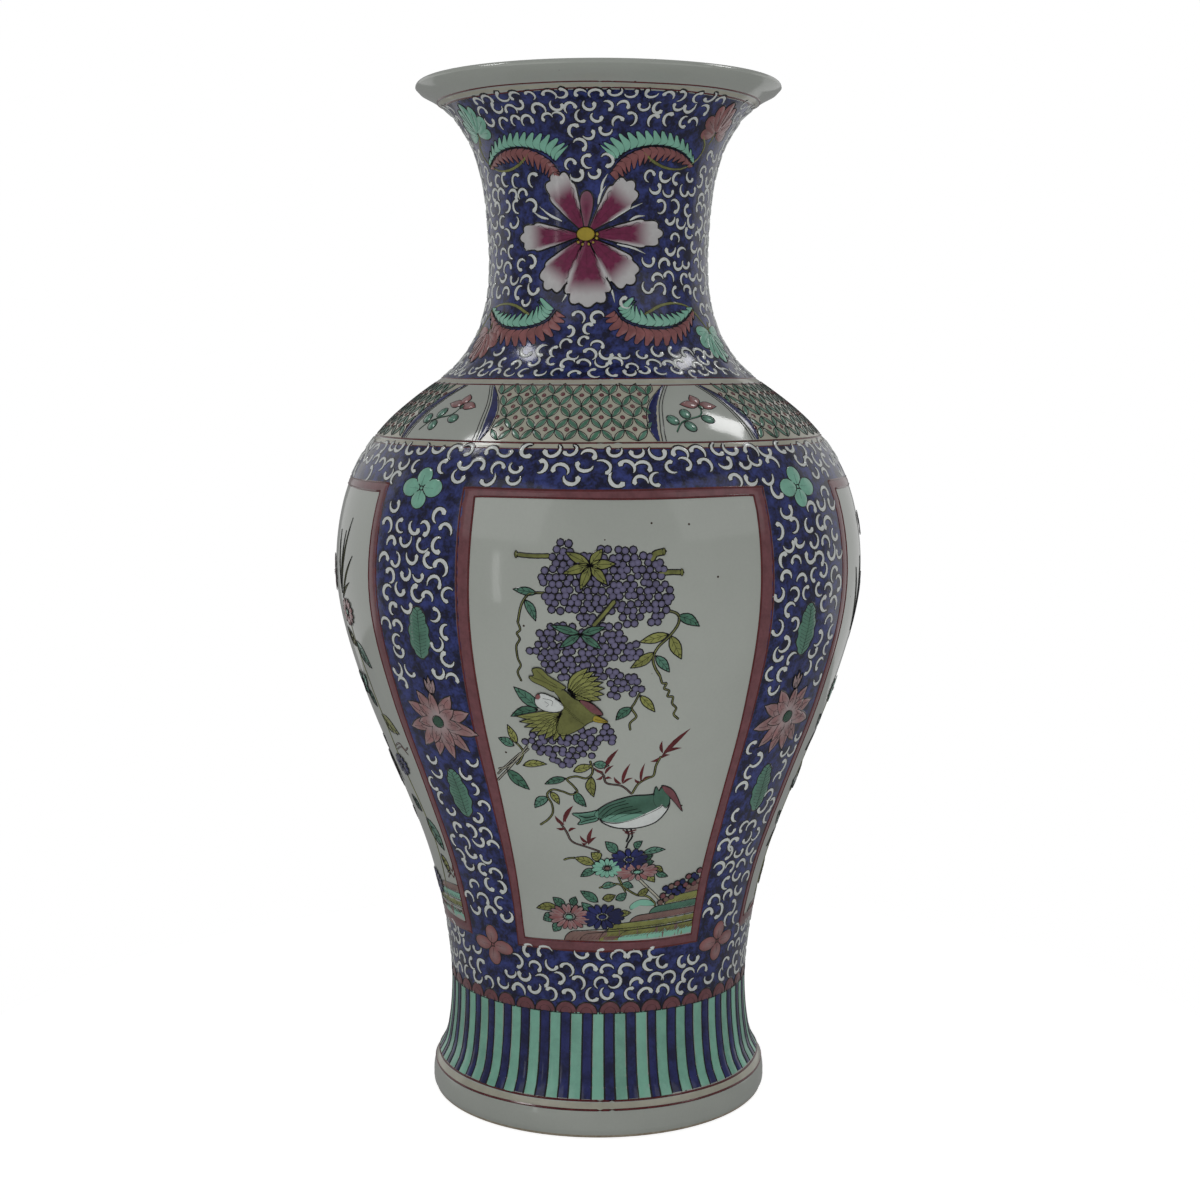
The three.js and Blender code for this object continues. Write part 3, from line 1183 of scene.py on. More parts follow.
def petal_wash(turn, height, angle, length, width):
    """Deep colour from the claw to past the middle, pale at the tip and along both edges."""
    def wash(places):
        x = np.radians(places[:, 0] - turn) * radius_at(height)
        y = places[:, 1] - height
        c, s = ray(angle)
        along = (x * c + y * s) / length
        aside = np.abs(-x * s + y * c) / (width / 2)
        pale_edge = (aside / (0.25 + 0.75 * along) - 0.68) / 0.25
        return np.clip(np.maximum((along - 0.62) / 0.22, pale_edge), 0, 1)
    return wash


def paint_great_flower(palette, hand, turn, height):
    ink = palette["black_line"]
    for angle, start, stop in SEPALS:
        angle += hand.uniform(-2, 2)
        line = placed([(start, 0), ((start + stop) / 2, 0.5), (stop, -0.3)], turn, height, angle)
        line = curve(line, 6)
        palette["white_enamel"].stroke(line, [0.8, 1.3, 1.4, 1.2, 0.8, 0.3], 0.26)
        ink.stroke(line, [1.5, 2.0, 2.1, 1.9, 1.5, 0.8], 0.12)
        KEEP_CLEAR.append(line)
    for order, (angle, length, width) in enumerate(GREAT_PETALS):
        lobes = 6 if width > 18 else 5
        small = length < 20
        rim = placed(petal_rim(length, width, 0 if small else lobes), turn, height, angle)
        rim_wash = (0.0, 0.15) if small else petal_wash(turn, height, angle, length, width)
        centre = placed([(length * 0.58, 0)], turn, height, angle)[0]
        outlined(palette, "magenta", centre, rim, 0.22 + 0.05 * order, rings=5, line=1.0, wash=rim_wash,
            clear=True)
        if not small:
            for bend in (-0.22, 0.0, 0.24):
                vein = [(length * 0.2, bend * width * 0.3), (length * 0.45, bend * width * 0.8),
                        (length * 0.62, bend * width)]
                line = curve(placed(vein, turn, height, angle), 6)
                palette["magenta"].stroke(line, [0.3, 0.5, 0.45, 0.4, 0.3, 0.1], 0.34 + 0.05 * order)
            fold_side = -1 if angle in (181, 119) else 1
            fold = [(length * along, fold_side * width * aside) for along, aside in PETAL_FOLD]
            ink.stroke(curve(placed(fold, turn, height, angle), 14), 0.55, 0.38 + 0.05 * order)
    spot(palette, "yellow", (turn, height + 0.4), 8.2, 6.2, 14, 0.85, 2, 0.7)
    for angle in (-75, -50, -20, 5, -105, -130):
        seed = placed([ray(angle)] * np.array([4.9, 4.0]), turn, height)[0]
        spot(palette, "yellow", seed, 1.9, 1.9, 8, 0.9, 1, 0.45, (1, 1))


class PaintNeckLeaves(bpy.types.Operator):
    """Paint the curled leaves, tendrils and buds round the neck"""

    bl_idname = "vase.paint_neck_leaves"
    bl_label = "Paint Neck Leaves"

    def execute(self, context):
        palette = Palette("neck_leaves", GROUND_LIFT)
        for turn in (NECK_FLOWER[0], NECK_FLOWER[0] + 180):
            for side in (-1, 1):
                paint_upper_leaf(palette, turn, side)
                paint_lower_leaf(palette, turn, side)
        for turn, enamel, other in ((-67.5, "turquoise", "rose"), (57, "rose", "turquoise"),
                (112.5, "turquoise", "rose"), (237, "rose", "turquoise")):
            paint_bud(palette, turn, 436.5, enamel, 90)
            paint_bud(palette, turn + 2.0, 343.5, other, -90)
        palette.finish()
        return {"FINISHED"}


def toothed(line, widths, teeth, side, samples_per_tooth=5):
    """An edge beside a line that runs out in combed teeth, given as rows that match the line's."""
    count = teeth * samples_per_tooth + 1
    smooth = curve(line, count)
    saw = np.tile(np.array([0.5, 0.88, 1.0, 0.97, 0.72]), teeth)
    saw = np.append(saw, 0.3)
    swell = np.interp(np.linspace(0, 1, count), np.linspace(0, 1, len(widths)), widths)
    left, right, _, _ = offset_line(smooth, swell * saw)
    edge = left if side > 0 else right
    lean = np.gradient(smooth, axis=0) * (saw[:, None] - 0.4) * 4.6
    edge = edge - lean
    edge[0], edge[-1] = smooth[0], smooth[-1]
    return smooth, edge


def combed_layer(palette, enamel, line, widths, teeth, side, wash=0.0):
    smooth, edge = toothed(line, widths, teeth, side)
    palette[enamel].band(smooth, edge, 0.22, across=3, wash=wash)
    palette.ink(edge, 0.4, 0.26)
    palette.ink(smooth, 0.55, 0.3)
    KEEP_CLEAR.extend([smooth, edge])
    for k in range(teeth):
        i = k * 5
        hair = curve([smooth[max(i - 3, 0)], (smooth[i] + edge[i]) / 2, edge[i]], 4)
        palette.ink(hair, 0.45, 0.3)


def mirrored(turn, side, points):
    """Points given as degrees away from the flower's middle on one side, and heights."""
    return np.array([(turn + side * across, height) for across, height in points])


def paint_upper_leaf(palette, turn, side):
    spine = mirrored(turn, side, ((14.0, 418.6), (19, 422.4), (28, 425), (38, 425.4), (48, 423.4), (57,
                419)))
    combed_layer(palette, "turquoise", spine, (10.5, 9.0, 7.0, 6.2, 5.0, 2.2), 15, side, wash=0.2)
    under = mirrored(turn, side, ((11.5, 413.6), (17, 419.8), (27, 424.4), (38, 424.9), (48, 422.8), (57,
                418.4)))
    combed_layer(palette, "rose", under, (5.0, 7.2, 7.4, 6.6, 5.0, 2.6), 15, -side, wash=0.0)
    tendril = mirrored(turn, side, ((27, 422.6), (33, 418.6), (41, 416.4), (50, 417), (59, 421.5), (62,
                427), (58, 431)))
    paint_tendril(palette, tendril)


def paint_lower_leaf(palette, turn, side):
    spine = mirrored(turn, side, ((15, 357), (19, 352.5), (28, 349.8), (40, 349.8), (50, 352.5), (60, 358)))
    combed_layer(palette, "turquoise", spine, (10.0, 10.0, 7.4, 6.4, 5.4, 2.4), 14, side, wash=0.2)
    under = mirrored(turn, side, ((14, 356.4), (18.4, 351.9), (28, 349.1), (40, 349.1), (50, 351.9), (60,
                357.4)))
    combed_layer(palette, "rose", under, (5.0, 8.4, 8.8, 8.0, 6.0, 2.4), 15, -side, wash=0.0)
    tendril = mirrored(turn, side, ((29, 355), (38, 358.8), (48, 359.8), (58, 357.5), (67, 350), (71, 346)))
    paint_tendril(palette, tendril)


def paint_tendril(palette, points):
    line = curve(points, 16)
    widths = np.interp(np.linspace(0, 1, 16), (0, 0.15, 0.5, 1), (1.6, 1.8, 1.0, 1.2))
    palette["yellow_green"].stroke(line, widths, 0.26)
    palette.ink(line, widths + 0.7, 0.14)
    KEEP_CLEAR.append(line)


def paint_bud(palette, turn, height, enamel, angle):
    """A half-open bud of nested petals above two loose ones."""
    ink = palette["black_line"]
    for tilt, length, width, lift in ((96, 11, 5.5, 0), (-92, 11, 5.5, 0), (62, 13, 6, 0.05),
            (-60, 13, 6, 0.05), (30, 14, 6, 0.1), (-28, 14, 6, 0.1), (0, 14.5, 6.5, 0.2)):
        root = placed([(-4.6, 0)], turn, height, angle)[0]
        t = round_turn(16)
        shape = paired(length * (0.5 - 0.5 * np.cos(t)), width / 2 * np.sin(t) * (1.05 - 0.25 * np.cos(t)))
        rim = placed(shape, *root, angle + tilt)
        outlined(palette, enamel, rim.mean(axis=0), rim, 0.2 + lift, rings=3, line=1.0, wash=(0.15, 0.0),
            clear=True)
        rib = placed([(length * 0.3, 0), (length * 0.8, 0)], *root, angle + tilt)
        ink.stroke(rib, 0.4, 0.34 + lift)
    stalk = placed([(-10, 1.6), (-6, 0.4), (-3, 0)], turn, height, angle)
    palette["yellow_green"].stroke(curve(stalk, 5), 1.1, 0.24)
    ink.stroke(curve(stalk, 5), 1.9, 0.12)


class PaintPillarFlowers(bpy.types.Operator):
    """Paint the clovers, leaves and lotuses between the panels"""

    bl_idname = "vase.paint_pillar_flowers"
    bl_label = "Paint Pillar Flowers"

    def execute(self, context):
        palette = Palette("pillar_flowers", GROUND_LIFT)
        hand = painter(6)
        for turn in PILLAR_CENTRES:
            four_lobes(palette, hand, turn - 1.0, 283.0, "turquoise", 6.2, (10.5, 8.2), 4.9, (8.6, 8.4))
            ragged_leaf(palette, hand, turn + hand.uniform(-0.6, 0.6), 223.5, 11.0, 23.0)
            lotus(palette, hand, turn + 0.4, 185.0)
            ragged_leaf(palette, hand, turn + hand.uniform(-0.4, 0.6), 152.0, 10.5, 24.0)
            four_lobes(palette, hand, turn - 1.2, 80.0, "rose", 5.9, (10.8, 6.6), 5.0, (7.4, 9.0))
        palette.finish()
        return {"FINISHED"}


def four_lobes(palette, hand, turn, height, enamel, side_reach, side_size, top_reach, top_size):
    """A flower of four round lobes, two at the sides and two above and below."""
    t = round_turn(18)
    for angle in (0, 90, 180, 270):
        reach, size = (top_reach, top_size[::-1]) if angle % 180 else (side_reach, side_size)
        taper = 1 - 0.22 * np.cos(t) ** 2 * (np.cos(t) < 0)
        shape = paired(reach + np.cos(t) * size[0] / 2, np.sin(t) * size[1] / 2 * taper)
        rim = placed(shape, turn, height, angle + hand.uniform(-4, 4))
        outlined(palette, enamel, rim.mean(axis=0), rim, 0.24, rings=3, line=0.6, wash=(0.25, 0.0),
            clear=True)
        vein = placed([(reach * 0.3, 0.2), (reach * 1.1, 0)], turn, height, angle)
        palette.ink(vein, 0.28, 0.36)
    spot(palette, enamel, (turn, height), 1.8, 2.2, 8, 0.3, 1, 0.4)


def ragged_leaf(palette, hand, turn, height, width, tall):
    """A broad upright leaf with lobed edges, crossed by close hatching."""
    t = round_turn(60)
    lobes = 0.94 + 0.2 * np.abs(np.sin(t * 5.5 + 0.6)) + 0.06 * np.cos(t * 3)
    shape = paired(np.sin(t) * width / 2 * lobes, np.cos(t) * tall / 2 * (0.94 + 0.06 * np.abs(np.cos(t))))
    lean = hand.uniform(-6, 6)
    rim = placed(shape, turn, height, lean)
    outlined(palette, "leaf_green", (turn, height), rim, 0.22, rings=4, line=0.85, wash=(0.2, 0.7),
        clear=True)
    for k in range(13):
        y = tall * (0.41 - 0.068 * k)
        reach = width * 0.4 * math.sqrt(max(0.05, 1 - (2 * y / tall) ** 2))
        for side in (-1, 1):
            hair = placed([(0, y), (side * reach, y + 1.6)], turn, height, lean)
            palette.ink(hair, 0.5, 0.32)
    rib = placed([(0, -tall * 0.46), (0.4, 0), (0, tall * 0.42)], turn, height, lean)
    palette.ink(curve(rib, 7), 0.6, 0.34)


def lotus(palette, hand, turn, height):
    """An open lotus: broad pointed petals in two rows round a green seed head."""
    ink = palette["black_line"]
    outer = ((20, 17.5), (160, 17.5), (-14, 19), (194, 19), (52, 15.5), (128, 15.5), (-46, 17.5),
        (226, 17.5), (-76, 17), (256, 17))
    for k, (angle, length) in enumerate(outer):
        angle += hand.uniform(-4, 4)
        paint_lotus_petal(palette, turn, height, angle, length, 8.0, 0.2 + 0.06 * (k % 3))
    for angle, length in ((90, 13.5), (36, 11.5), (144, 11.5), (-6, 12), (186, 12), (-62, 12), (242, 12)):
        paint_lotus_petal(palette, turn, height, angle + hand.uniform(-4, 4), length, 6.4, 0.46)
    for angle, length in ((70, 8), (110, 8), (90, 9)):
        root = placed([(0, 12.5)], turn, height)[0]
        one, other, spine = (placed(part, *root, angle) for part in leaf_edges(length, 3.2))
        palette["rose"].band(one, other, 0.46, wash=0.4)
        ink.stroke(one, 0.4, 0.5)
        ink.stroke(other, 0.4, 0.5)
        KEEP_CLEAR.append(spine)
    spot(palette, "bird_green", (turn, height), 6.2, 5.8, 14, 0.8, 2, 0.8)
    for k in range(6):
        a = math.radians(k * 60)
        seed = placed([(math.cos(a) * 2.1, math.sin(a) * 1.5)], turn, height)[0]
        ink.dome(seed, placed(oval(0.9, 0.9, 6), *seed), 1.05, rings=1)


def paint_lotus_petal(palette, turn, height, angle, length, width, thick):
    t = round_turn(18)
    point = np.abs(t - math.pi) / math.pi
    shape = paired(length * (0.52 - 0.48 * np.cos(t)), width / 2 * np.sin(t) * (0.62 + 0.38 * point))
    shape[9, 0] += length * 0.07
    rim = placed(shape, turn, height, angle)
    centre = placed([(length * 0.6, 0)], turn, height, angle)[0]

    def wash(places):
        away = np.hypot(np.radians(places[:, 0] - turn) * radius_at(height), places[:, 1] - height) / length
        return np.clip(0.1 + 0.9 * np.abs(away - 0.72), 0, 0.7)

    outlined(palette, "rose", centre, rim, thick, rings=3, line=0.95, wash=wash, clear=True)
    rib = placed([(length * 0.45, 0), (length * 0.72, width * 0.08), (length * 0.9, 0)], turn, height, angle)
    palette.ink(curve(rib, 5), 0.45, thick + 0.14)
    curl = [(length * 0.5, width * 0.3), (length * 0.64, width * 0.12), (length * 0.56, -width * 0.1)]
    curl = placed(curl, turn, height, angle)
    palette.ink(curve(curl, 6), 0.5, thick + 0.14)


class PaintScrolls(bpy.types.Operator):
    """Scatter the raised white scrolls over the blue ground"""

    bl_idname = "vase.paint_scrolls"
    bl_label = "Paint Scrolls"

    def execute(self, context):
        sizes = context.scene.vase_sizes
        hand = painter(8)
        spacing = sizes.scroll_spacing / MM
        clear = np.concatenate(KEEP_CLEAR)
        for name, low, high, size in (("neck_scrolls", 330.0, 445.0, 0.97),
                ("upper_scrolls", 286.4, 298.6, 1.12), ("pillar_scrolls", 88.4, 281.6, 1.12),
                ("lower_scrolls", 61.6, 84.6, 1.08)):
            palette = Palette(name, GROUND_LIFT)
            for turn, height in scroll_places(hand, low, high, spacing * size):
                if free_place(turn, height, clear):
                    paint_scroll(palette, hand, turn, height, size)
            palette.finish()
        return {"FINISHED"}


def scroll_places(hand, low, high, spacing):
    """Staggered rows round the wall, each place nudged a little."""
    height, row = low, 0
    while height < high + 2.0:
        around = math.tau * radius_at(height)
        count = round(around / spacing)
        for k in range(count):
            turn = (k + 0.5 * (row % 2) + hand.uniform(-0.17, 0.17)) * 360 / count
            level = min(max(height + hand.uniform(-1.2, 1.2), low), high)
            yield turn, level
        height += spacing * 0.8 / math.hypot(1, slope_at(height))
        row += 1


def free_place(turn, height, clear):
    """False over a panel, its frame or a painted flower."""
    if PANEL_FOOT - 5 < height < PANEL_TOP + 5:
        room = PANEL_HALF + 1.2 + math.degrees(2.6 / radius_at(height))
        if near_any(turn, PANEL_CENTRES, room):
            return False
    x = np.radians(apart(clear[:, 0], turn)) * radius_at(height)
    y = (clear[:, 1] - height) * math.hypot(1, slope_at(height))
    return float(np.min(x * x + y * y)) > 2.7 ** 2


def paint_scroll(palette, hand, turn, height, size):
    """A hooked stroke of thick white, round at its head and thin at its tail, between dark lines."""
    radius = hand.uniform(2.7, 3.5) * size
    sweep = math.radians(hand.uniform(175, 235))
    a = np.linspace(0, sweep, 10)
    flip = hand.choice((-1, 1))
    squash = hand.uniform(0.74, 0.95)
    curl = np.linspace(0.72, 1, 10)
    shape = paired(flip * np.cos(a) * radius * curl, np.sin(a) * radius * squash - radius * 0.3)
    lay = hand.choice((0, 0, 180, 180, 70, -70, 110)) + hand.uniform(-34, 34)
    line = placed(shape, turn, height, lay)
    girth = hand.uniform(1.05, 1.35) * size
    widths = np.array([2.0, 1.7, 1.3, 1.35, 1.5, 1.55, 1.45, 1.2, 0.9, 0.5]) * girth
    palette["white_enamel"].stroke(line, widths, 0.34)
    palette.ink(line, widths + 1.1, 0.16)


# ---------------------------------------------------------------- the vine panel, front and back

# Enamels that the tables name often
GREEN = "leaf_green"
OLIVE = "yellow_green"
MAUVE = "rock_mauve"
TURQUOISE = "turquoise"

# Outlines that berries fill, as [degrees from the panel's middle, mm up]
BERRY_CLUSTERS = (
    ((-15.3, 251.5), (-13, 255), (-13.2, 261.5), (-10.5, 264), (-8, 262.5), (-6.5, 258), (-3, 261),
        (0, 263), (2.5, 262), (5, 260), (8, 259), (9.8, 254), (9.6, 249), (11.6, 244), (11, 239.5),
        (9.8, 236), (8.8, 231.5), (6.6, 231), (5, 235.5), (4.4, 230.5), (2, 230), (0, 233.5), (-1.2, 236.5),
        (-4.5, 230.5), (-7.8, 230.5), (-8.4, 235), (-10.5, 236), (-12.8, 235.5), (-14, 239), (-13.8, 245)),
    ((-18.2, 219), (-16, 223.5), (-14.6, 229), (-12, 231), (-8, 230), (-3, 230.5), (0, 231.5), (1.6, 227.5),
        (3, 224), (5.4, 220), (3.8, 216.5), (1.5, 214), (-1.5, 214.5), (-0.5, 211.5), (4.5, 210),
        (6.6, 204), (4, 200.5), (2, 200.5), (-1.5, 199.5), (-2.4, 207), (-6, 212), (-10, 206.5),
        (-12, 207.5), (-14.5, 211.5), (-16.4, 216)), ((-22.2, 181), (-19, 183), (-16, 183.5), (-12, 183.5),
        (-9, 184), (-8, 188), (-4.5, 187), (-1, 187.5), (1.0, 184), (0, 180), (-3.5, 180), (-5, 176),
        (-5, 172.5), (-9, 172), (-10, 168.5), (-13, 168), (-14.5, 171.5), (-17.5, 175), (-20.2, 178.5)),
)

# Leaves of the vine panel as enamel, root, tip and width in mm
VINE_LEAVES = (
    (GREEN, (-15.4, 243.0), (-20.2, 244.4), 3.2), (GREEN, (-17.9, 240.4), (-15.8, 231.8), 3.6),
    (GREEN, (12.0, 233.6), (16.7, 229.0), 4.4), (OLIVE, (10.4, 226.2), (4.6, 223.2), 4.2),
    (OLIVE, (10.8, 225.6), (13.4, 215.6), 4.8), (OLIVE, (7.7, 218.8), (3.0, 212.4), 4.4),
    (GREEN, (8.0, 217.4), (11.1, 210.2), 4.0), (OLIVE, (5.2, 200.6), (8.7, 193.2), 3.6),
    (GREEN, (3.6, 195.4), (0.3, 190.0), 4.2), (GREEN, (-16.2, 194.8), (-21.5, 203.6), 5.2),
    (GREEN, (-16.6, 194.2), (-22.9, 190.6), 4.4), (OLIVE, (-22.4, 178.6), (-24.1, 186.8), 3.4),
    (GREEN, (-23.2, 177.4), (-26.9, 180.4), 4.2), (GREEN, (-26.2, 166.4), (-21.2, 157.6), 5.4),
    (OLIVE, (-21.8, 168.6), (-15.8, 169.8), 3.4), (OLIVE, (-9.5, 166.8), (-4.7, 169.6), 3.8),
    (GREEN, (-4.7, 170.4), (-1.0, 169.6), 3.8), (OLIVE, (-5.2, 164.6), (-4.7, 155.2), 4.2),
    (GREEN, (-11.4, 163.6), (-16.8, 160.6), 3.4), (GREEN, (-9.4, 157.6), (-6.7, 150.6), 4.0),
    (GREEN, (-16.4, 154.6), (-20.3, 149.2), 4.2), (OLIVE, (-15.6, 157.2), (-13.7, 151.4), 3.2),
)

# Stems and tendrils of the vine panel as enamel, width in mm and the points they pass
VINE_STEMS = (
    (OLIVE, 0.9, ((-13.6, 243.2), (-15.6, 243.2), (-17.2, 242.4), (-18.6, 238), (-19.4, 231))),
    (OLIVE, 0.7, ((-19.4, 231), (-19.0, 228), (-19.7, 226.4), (-19.2, 224), (-20.0, 221), (-19.9, 216),
            (-19.4, 213), (-20.2, 210), (-19.6, 206.4))), (OLIVE, 1.1, ((9.4, 236.4), (12, 234.4), (12.3,
                230.6), (10.6, 225.4), (8.4, 221), (7.5, 216.6), (8.0, 212.4), (9.2, 208.6))),
    (OLIVE, 0.8, ((9.2, 208.6), (9.8, 205.6), (10.7, 205.4), (10.3, 203.2), (11.4, 202.2), (11.2, 199.8),
            (12.4, 199.4), (12.4, 196.6), (13.4, 194.4), (13.0, 191.8), (14.2, 189.6))),
    (OLIVE, 0.8, ((5.1, 201.4), (4.2, 197.4), (3.6, 195), (4.7, 191.4), (3.4, 188.6), (3.5, 185.6))),
    ("cream", 0.9, ((-29.3, 161), (-24.6, 168.6), (-20.0, 177.6))),
    ("cream", 0.8, ((-28.4, 166.2), (-25, 168.4), (-19.8, 176.4))),
    ("cream", 0.7, ((-29.0, 163.8), (-22, 174.2))), (OLIVE, 0.9, ((-24.0, 180.4), (-22.6, 178.8), (-21.2,
                175), (-22.4, 170.6), (-23.4, 169))), (OLIVE, 0.8, ((-5.4, 171.6), (-4.9, 166.6), (-6.4,
                163.8), (-9, 164.6), (-11.2, 163.2), (-9.8, 160.4), (-8.8, 157.4), (-10.4, 156.2),
            (-12.4, 157.4), (-15.0, 158.2), (-16.6, 155.6), (-15.6, 151.4), (-15.6, 147.4), (-17.0, 144.2),
            (-19.4, 141.4))), (MAUVE, 0.7, ((4.9, 156.4), (2.2, 160.2), (-1.5, 161.6), (-2.4, 165.6), (-4.8,
                168.4))), (OLIVE, 0.9, ((5.0, 156.6), (6.4, 161), (8.6, 163.4), (10.0, 164.6), (10.3, 169),
            (11.2, 173))), (MAUVE, 0.7, ((-3.2, 129.6), (-6.3, 131.4), (-10.8, 134), (-12.3, 138.6), (-14.2,
                144))),
)

# Red lance leaves as root, tip and width in mm
LANCE_LEAVES = (
    ((11.2, 172.6), (17.8, 185.4), 3.4), ((11.6, 174.4), (11.1, 180.4), 2.2),
    ((12.0, 174.6), (16.2, 176.4), 2.2), ((11.0, 172.8), (8.8, 171), 2.0),
    ((10.9, 172), (13.5, 173.6), 2.0), ((7.0, 161.4), (7.6, 170.6), 2.0), ((7.0, 161.6), (5.3, 163.4), 1.8),
    ((7.2, 161.6), (9.4, 164.4), 1.8), ((-2.2, 167.6), (1.2, 177.2), 3.0),
    ((-2.2, 166.6), (-4.4, 168.6), 2.0), ((-2.4, 165.2), (-4.2, 163.2), 1.8),
    ((-2.0, 165.6), (0.2, 169.8), 2.0), ((-2.0, 163.4), (-0.2, 163.6), 1.8),
    ((2.3, 161), (4.1, 170.6), 2.4), ((2.2, 161), (0.2, 164.6), 2.0), ((2.4, 161), (5.0, 163.8), 1.8),
    ((-13.0, 142.6), (-9.9, 151.2), 3.0), ((-12.6, 141.8), (-15.2, 146.2), 2.4),
    ((-12.4, 140.6), (-15.2, 140.2), 2.0), ((-11.8, 138.6), (-9.5, 140.4), 2.0),
    ((-12.3, 143), (-11.7, 148), 1.8), ((-6.3, 132.4), (-5.0, 140.8), 2.6),
    ((-6.2, 133.4), (-8.7, 137.2), 2.0), ((-6.2, 133), (-3.9, 136.4), 2.0),
    ((-6.6, 133.4), (-8.4, 133.8), 1.6),
)


class PaintBerryVines(bpy.types.Operator):
    """Paint the hanging berry clusters, leaves and tendrils of the front and back panels"""

    bl_idname = "vase.paint_berry_vines"
    bl_label = "Paint Berry Vines"

    def execute(self, context):
        sizes = context.scene.vase_sizes
        hand = painter(9)
        berries = Palette("berries", 0.0)
        vines = Palette("vines", 0.03)
        over = Palette("vine_crowns", 0.5)
        for move in (0.0, BACK):
            for cluster in BERRY_CLUSTERS:
                paint_cluster(berries, hand, np.array(cluster) + (move, 0), sizes.berry_size / MM)
            paint_stems(vines, VINE_STEMS, move)
            paint_leaves(vines, hand, VINE_LEAVES, move)
            for root, tip, width in LANCE_LEAVES:
                lance_leaf(vines, root, tip, width, move)
            paint_twigs(vines, move)
            paint_crowns(over, move)
        for palette in (berries, vines, over):
            palette.finish()
        return {"FINISHED"}


def inside(place, outline):
    """True when a [turn, height] place is inside a closed outline."""
    x, y = place
    a, b = outline, np.roll(outline, -1, axis=0)
    spans = (a[:, 1] > y) != (b[:, 1] > y)
    rise = np.where(spans, b[:, 1] - a[:, 1], 1.0)
    crossing = a[:, 0] + (y - a[:, 1]) * (b[:, 0] - a[:, 0]) / rise
    return bool(np.count_nonzero(spans & (x < crossing)) % 2)


def paint_cluster(palette, hand, outline, size):
    """Round berries packed over an outline, each with a dark ring, its own depth of violet and a paler
    middle that is a painted highlight.
    """
    low, high = outline.min(axis=0), outline.max(axis=0)
    step = size * 0.86
    height, row = low[1] + size * 0.4, 0
    while height < high[1]:
        across = math.degrees(step / radius_at(height))
        for k in range(int((high[0] - low[0]) / across) + 2):
            turn = low[0] + (k + 0.5 * (row % 2)) * across
            place = np.array([turn + hand.uniform(-0.22, 0.22) * across, height + hand.uniform(-0.6, 0.6)])
            if inside(place, outline):
                width = size * hand.uniform(0.78, 0.88)
                rim = placed(oval(width, width, 8), *place)
                deep = hand.uniform(0.0, 0.35)
                # The wash is paler at the middle than at the rim: a painted highlight on each berry.
                palette["violet"].dome(place, rim, hand.uniform(0.36, 0.5), rings=2,
                    wash=(deep + 0.45, deep * 0.5))
                palette.ink(rim, 0.9, hand.uniform(0.3, 0.36), closed=True)
        height += step * 0.87
        row += 1


def spread(root, tip):
    """The length in mm and the angle of a line on the wall between two [turn, height] places."""
    middle = (root[1] + tip[1]) / 2
    across = math.radians(tip[0] - root[0]) * radius_at(middle)
    rise = (tip[1] - root[1]) * math.hypot(1, slope_at(middle))
    return math.hypot(across, rise), math.degrees(math.atan2(rise, across))


def leaf_to(palette, enamel, root, tip, width, move, bend=0.0, veins=3, line=0.55, wash=0.2):
    """A leaf from its root to its tip, both moved round to its own panel."""
    root = np.add(root, (move, 0))
    length, angle = spread(root, np.add(tip, (move, 0)))
    painted_leaf(palette, enamel, root[0], root[1], angle, length, width, bend, veins, line, wash=wash)


def paint_stems(palette, stems, move):
    for enamel, width, points in stems:
        line = curve(np.array(points) + (move, 0), 5 * len(points))
        palette[enamel].stroke(line, width * 0.75, 0.2)
        palette.ink(line, width * 0.75 + 0.65, 0.1)


def paint_leaves(palette, hand, leaves, move):
    for enamel, root, tip, width in leaves:
        leaf_to(palette, enamel, root, tip, width, move, hand.uniform(-0.9, 0.9),
            wash=hand.uniform(0.0, 0.7))


def lance_leaf(palette, root, tip, width, move):
    root = np.add(root, (move, 0))
    length, angle = spread(root, np.add(tip, (move, 0)))
    one, other, _ = (placed(part, *root, angle) for part in leaf_edges(length, width * 0.72, 0.7))
    palette["red_line"].band(one, other, 0.26)


def paint_twigs(palette, move):
    """Cut ends of the vine's wood."""
    for points, width in ((((-19.7, 258.4), (-16.5, 257.9), (-13.2, 258)), 1.6),
            (((6.8, 256.6), (7.6, 258.8), (9.3, 259.6)), 2.4), (((8.4, 251.0), (10.6, 251.4), (12.8,
                        251.2)), 1.9)):
        line = curve(np.array(points) + (move, 0), 8)
        palette["yellow_green"].stroke(line, width, 0.5)
        palette.ink(line, width + 0.8, 0.2)
        knob = line[-1] if points[0][0] > 0 else line[0]
        spot(palette, "yellow_green", knob, 1.4, 3.0, 8, 0.6, 1, 0.4)


def paint_crowns(palette, move):
    """Fingered leaves that lie over the clusters, and the stalk between them."""
    stalk = curve(rows((-4.4, 230.4), (-2.6, 234.6), (-0.5, 240)) + (move, 0), 8)
    palette["yellow_green"].stroke(stalk, 1.8, 0.2)
    palette.ink(stalk, 2.5, 0.1)
    for tip in ((-9.9, 259.6), (-10.4, 251), (-7.0, 244.6), (-1.8, 246.6), (-0.1, 255), (-2.7, 260.9)):
        leaf_to(palette, "yellow_green", (-5.1, 254.6), tip, 4.0, move, veins=2)
    for tip in ((-12.8, 230.2), (-11.2, 221), (-2.9, 220.6), (-2.1, 229.8)):
        leaf_to(palette, "leaf_green", (-7.0, 226.8), tip, 3.4, move, veins=2)


class PaintBirds(bpy.types.Operator):
    """Paint the flying and the standing bird of the front and back panels"""

    bl_idname = "vase.paint_birds"
    bl_label = "Paint Birds"

    def execute(self, context):
        flying = Palette("flying_bird", 0.55)
        standing = Palette("standing_bird", 0.05)
        for move in (0.0, BACK):
            paint_flying_bird(flying, move)
            paint_standing_bird(standing, move)
        flying.finish()
        standing.finish()
        return {"FINISHED"}


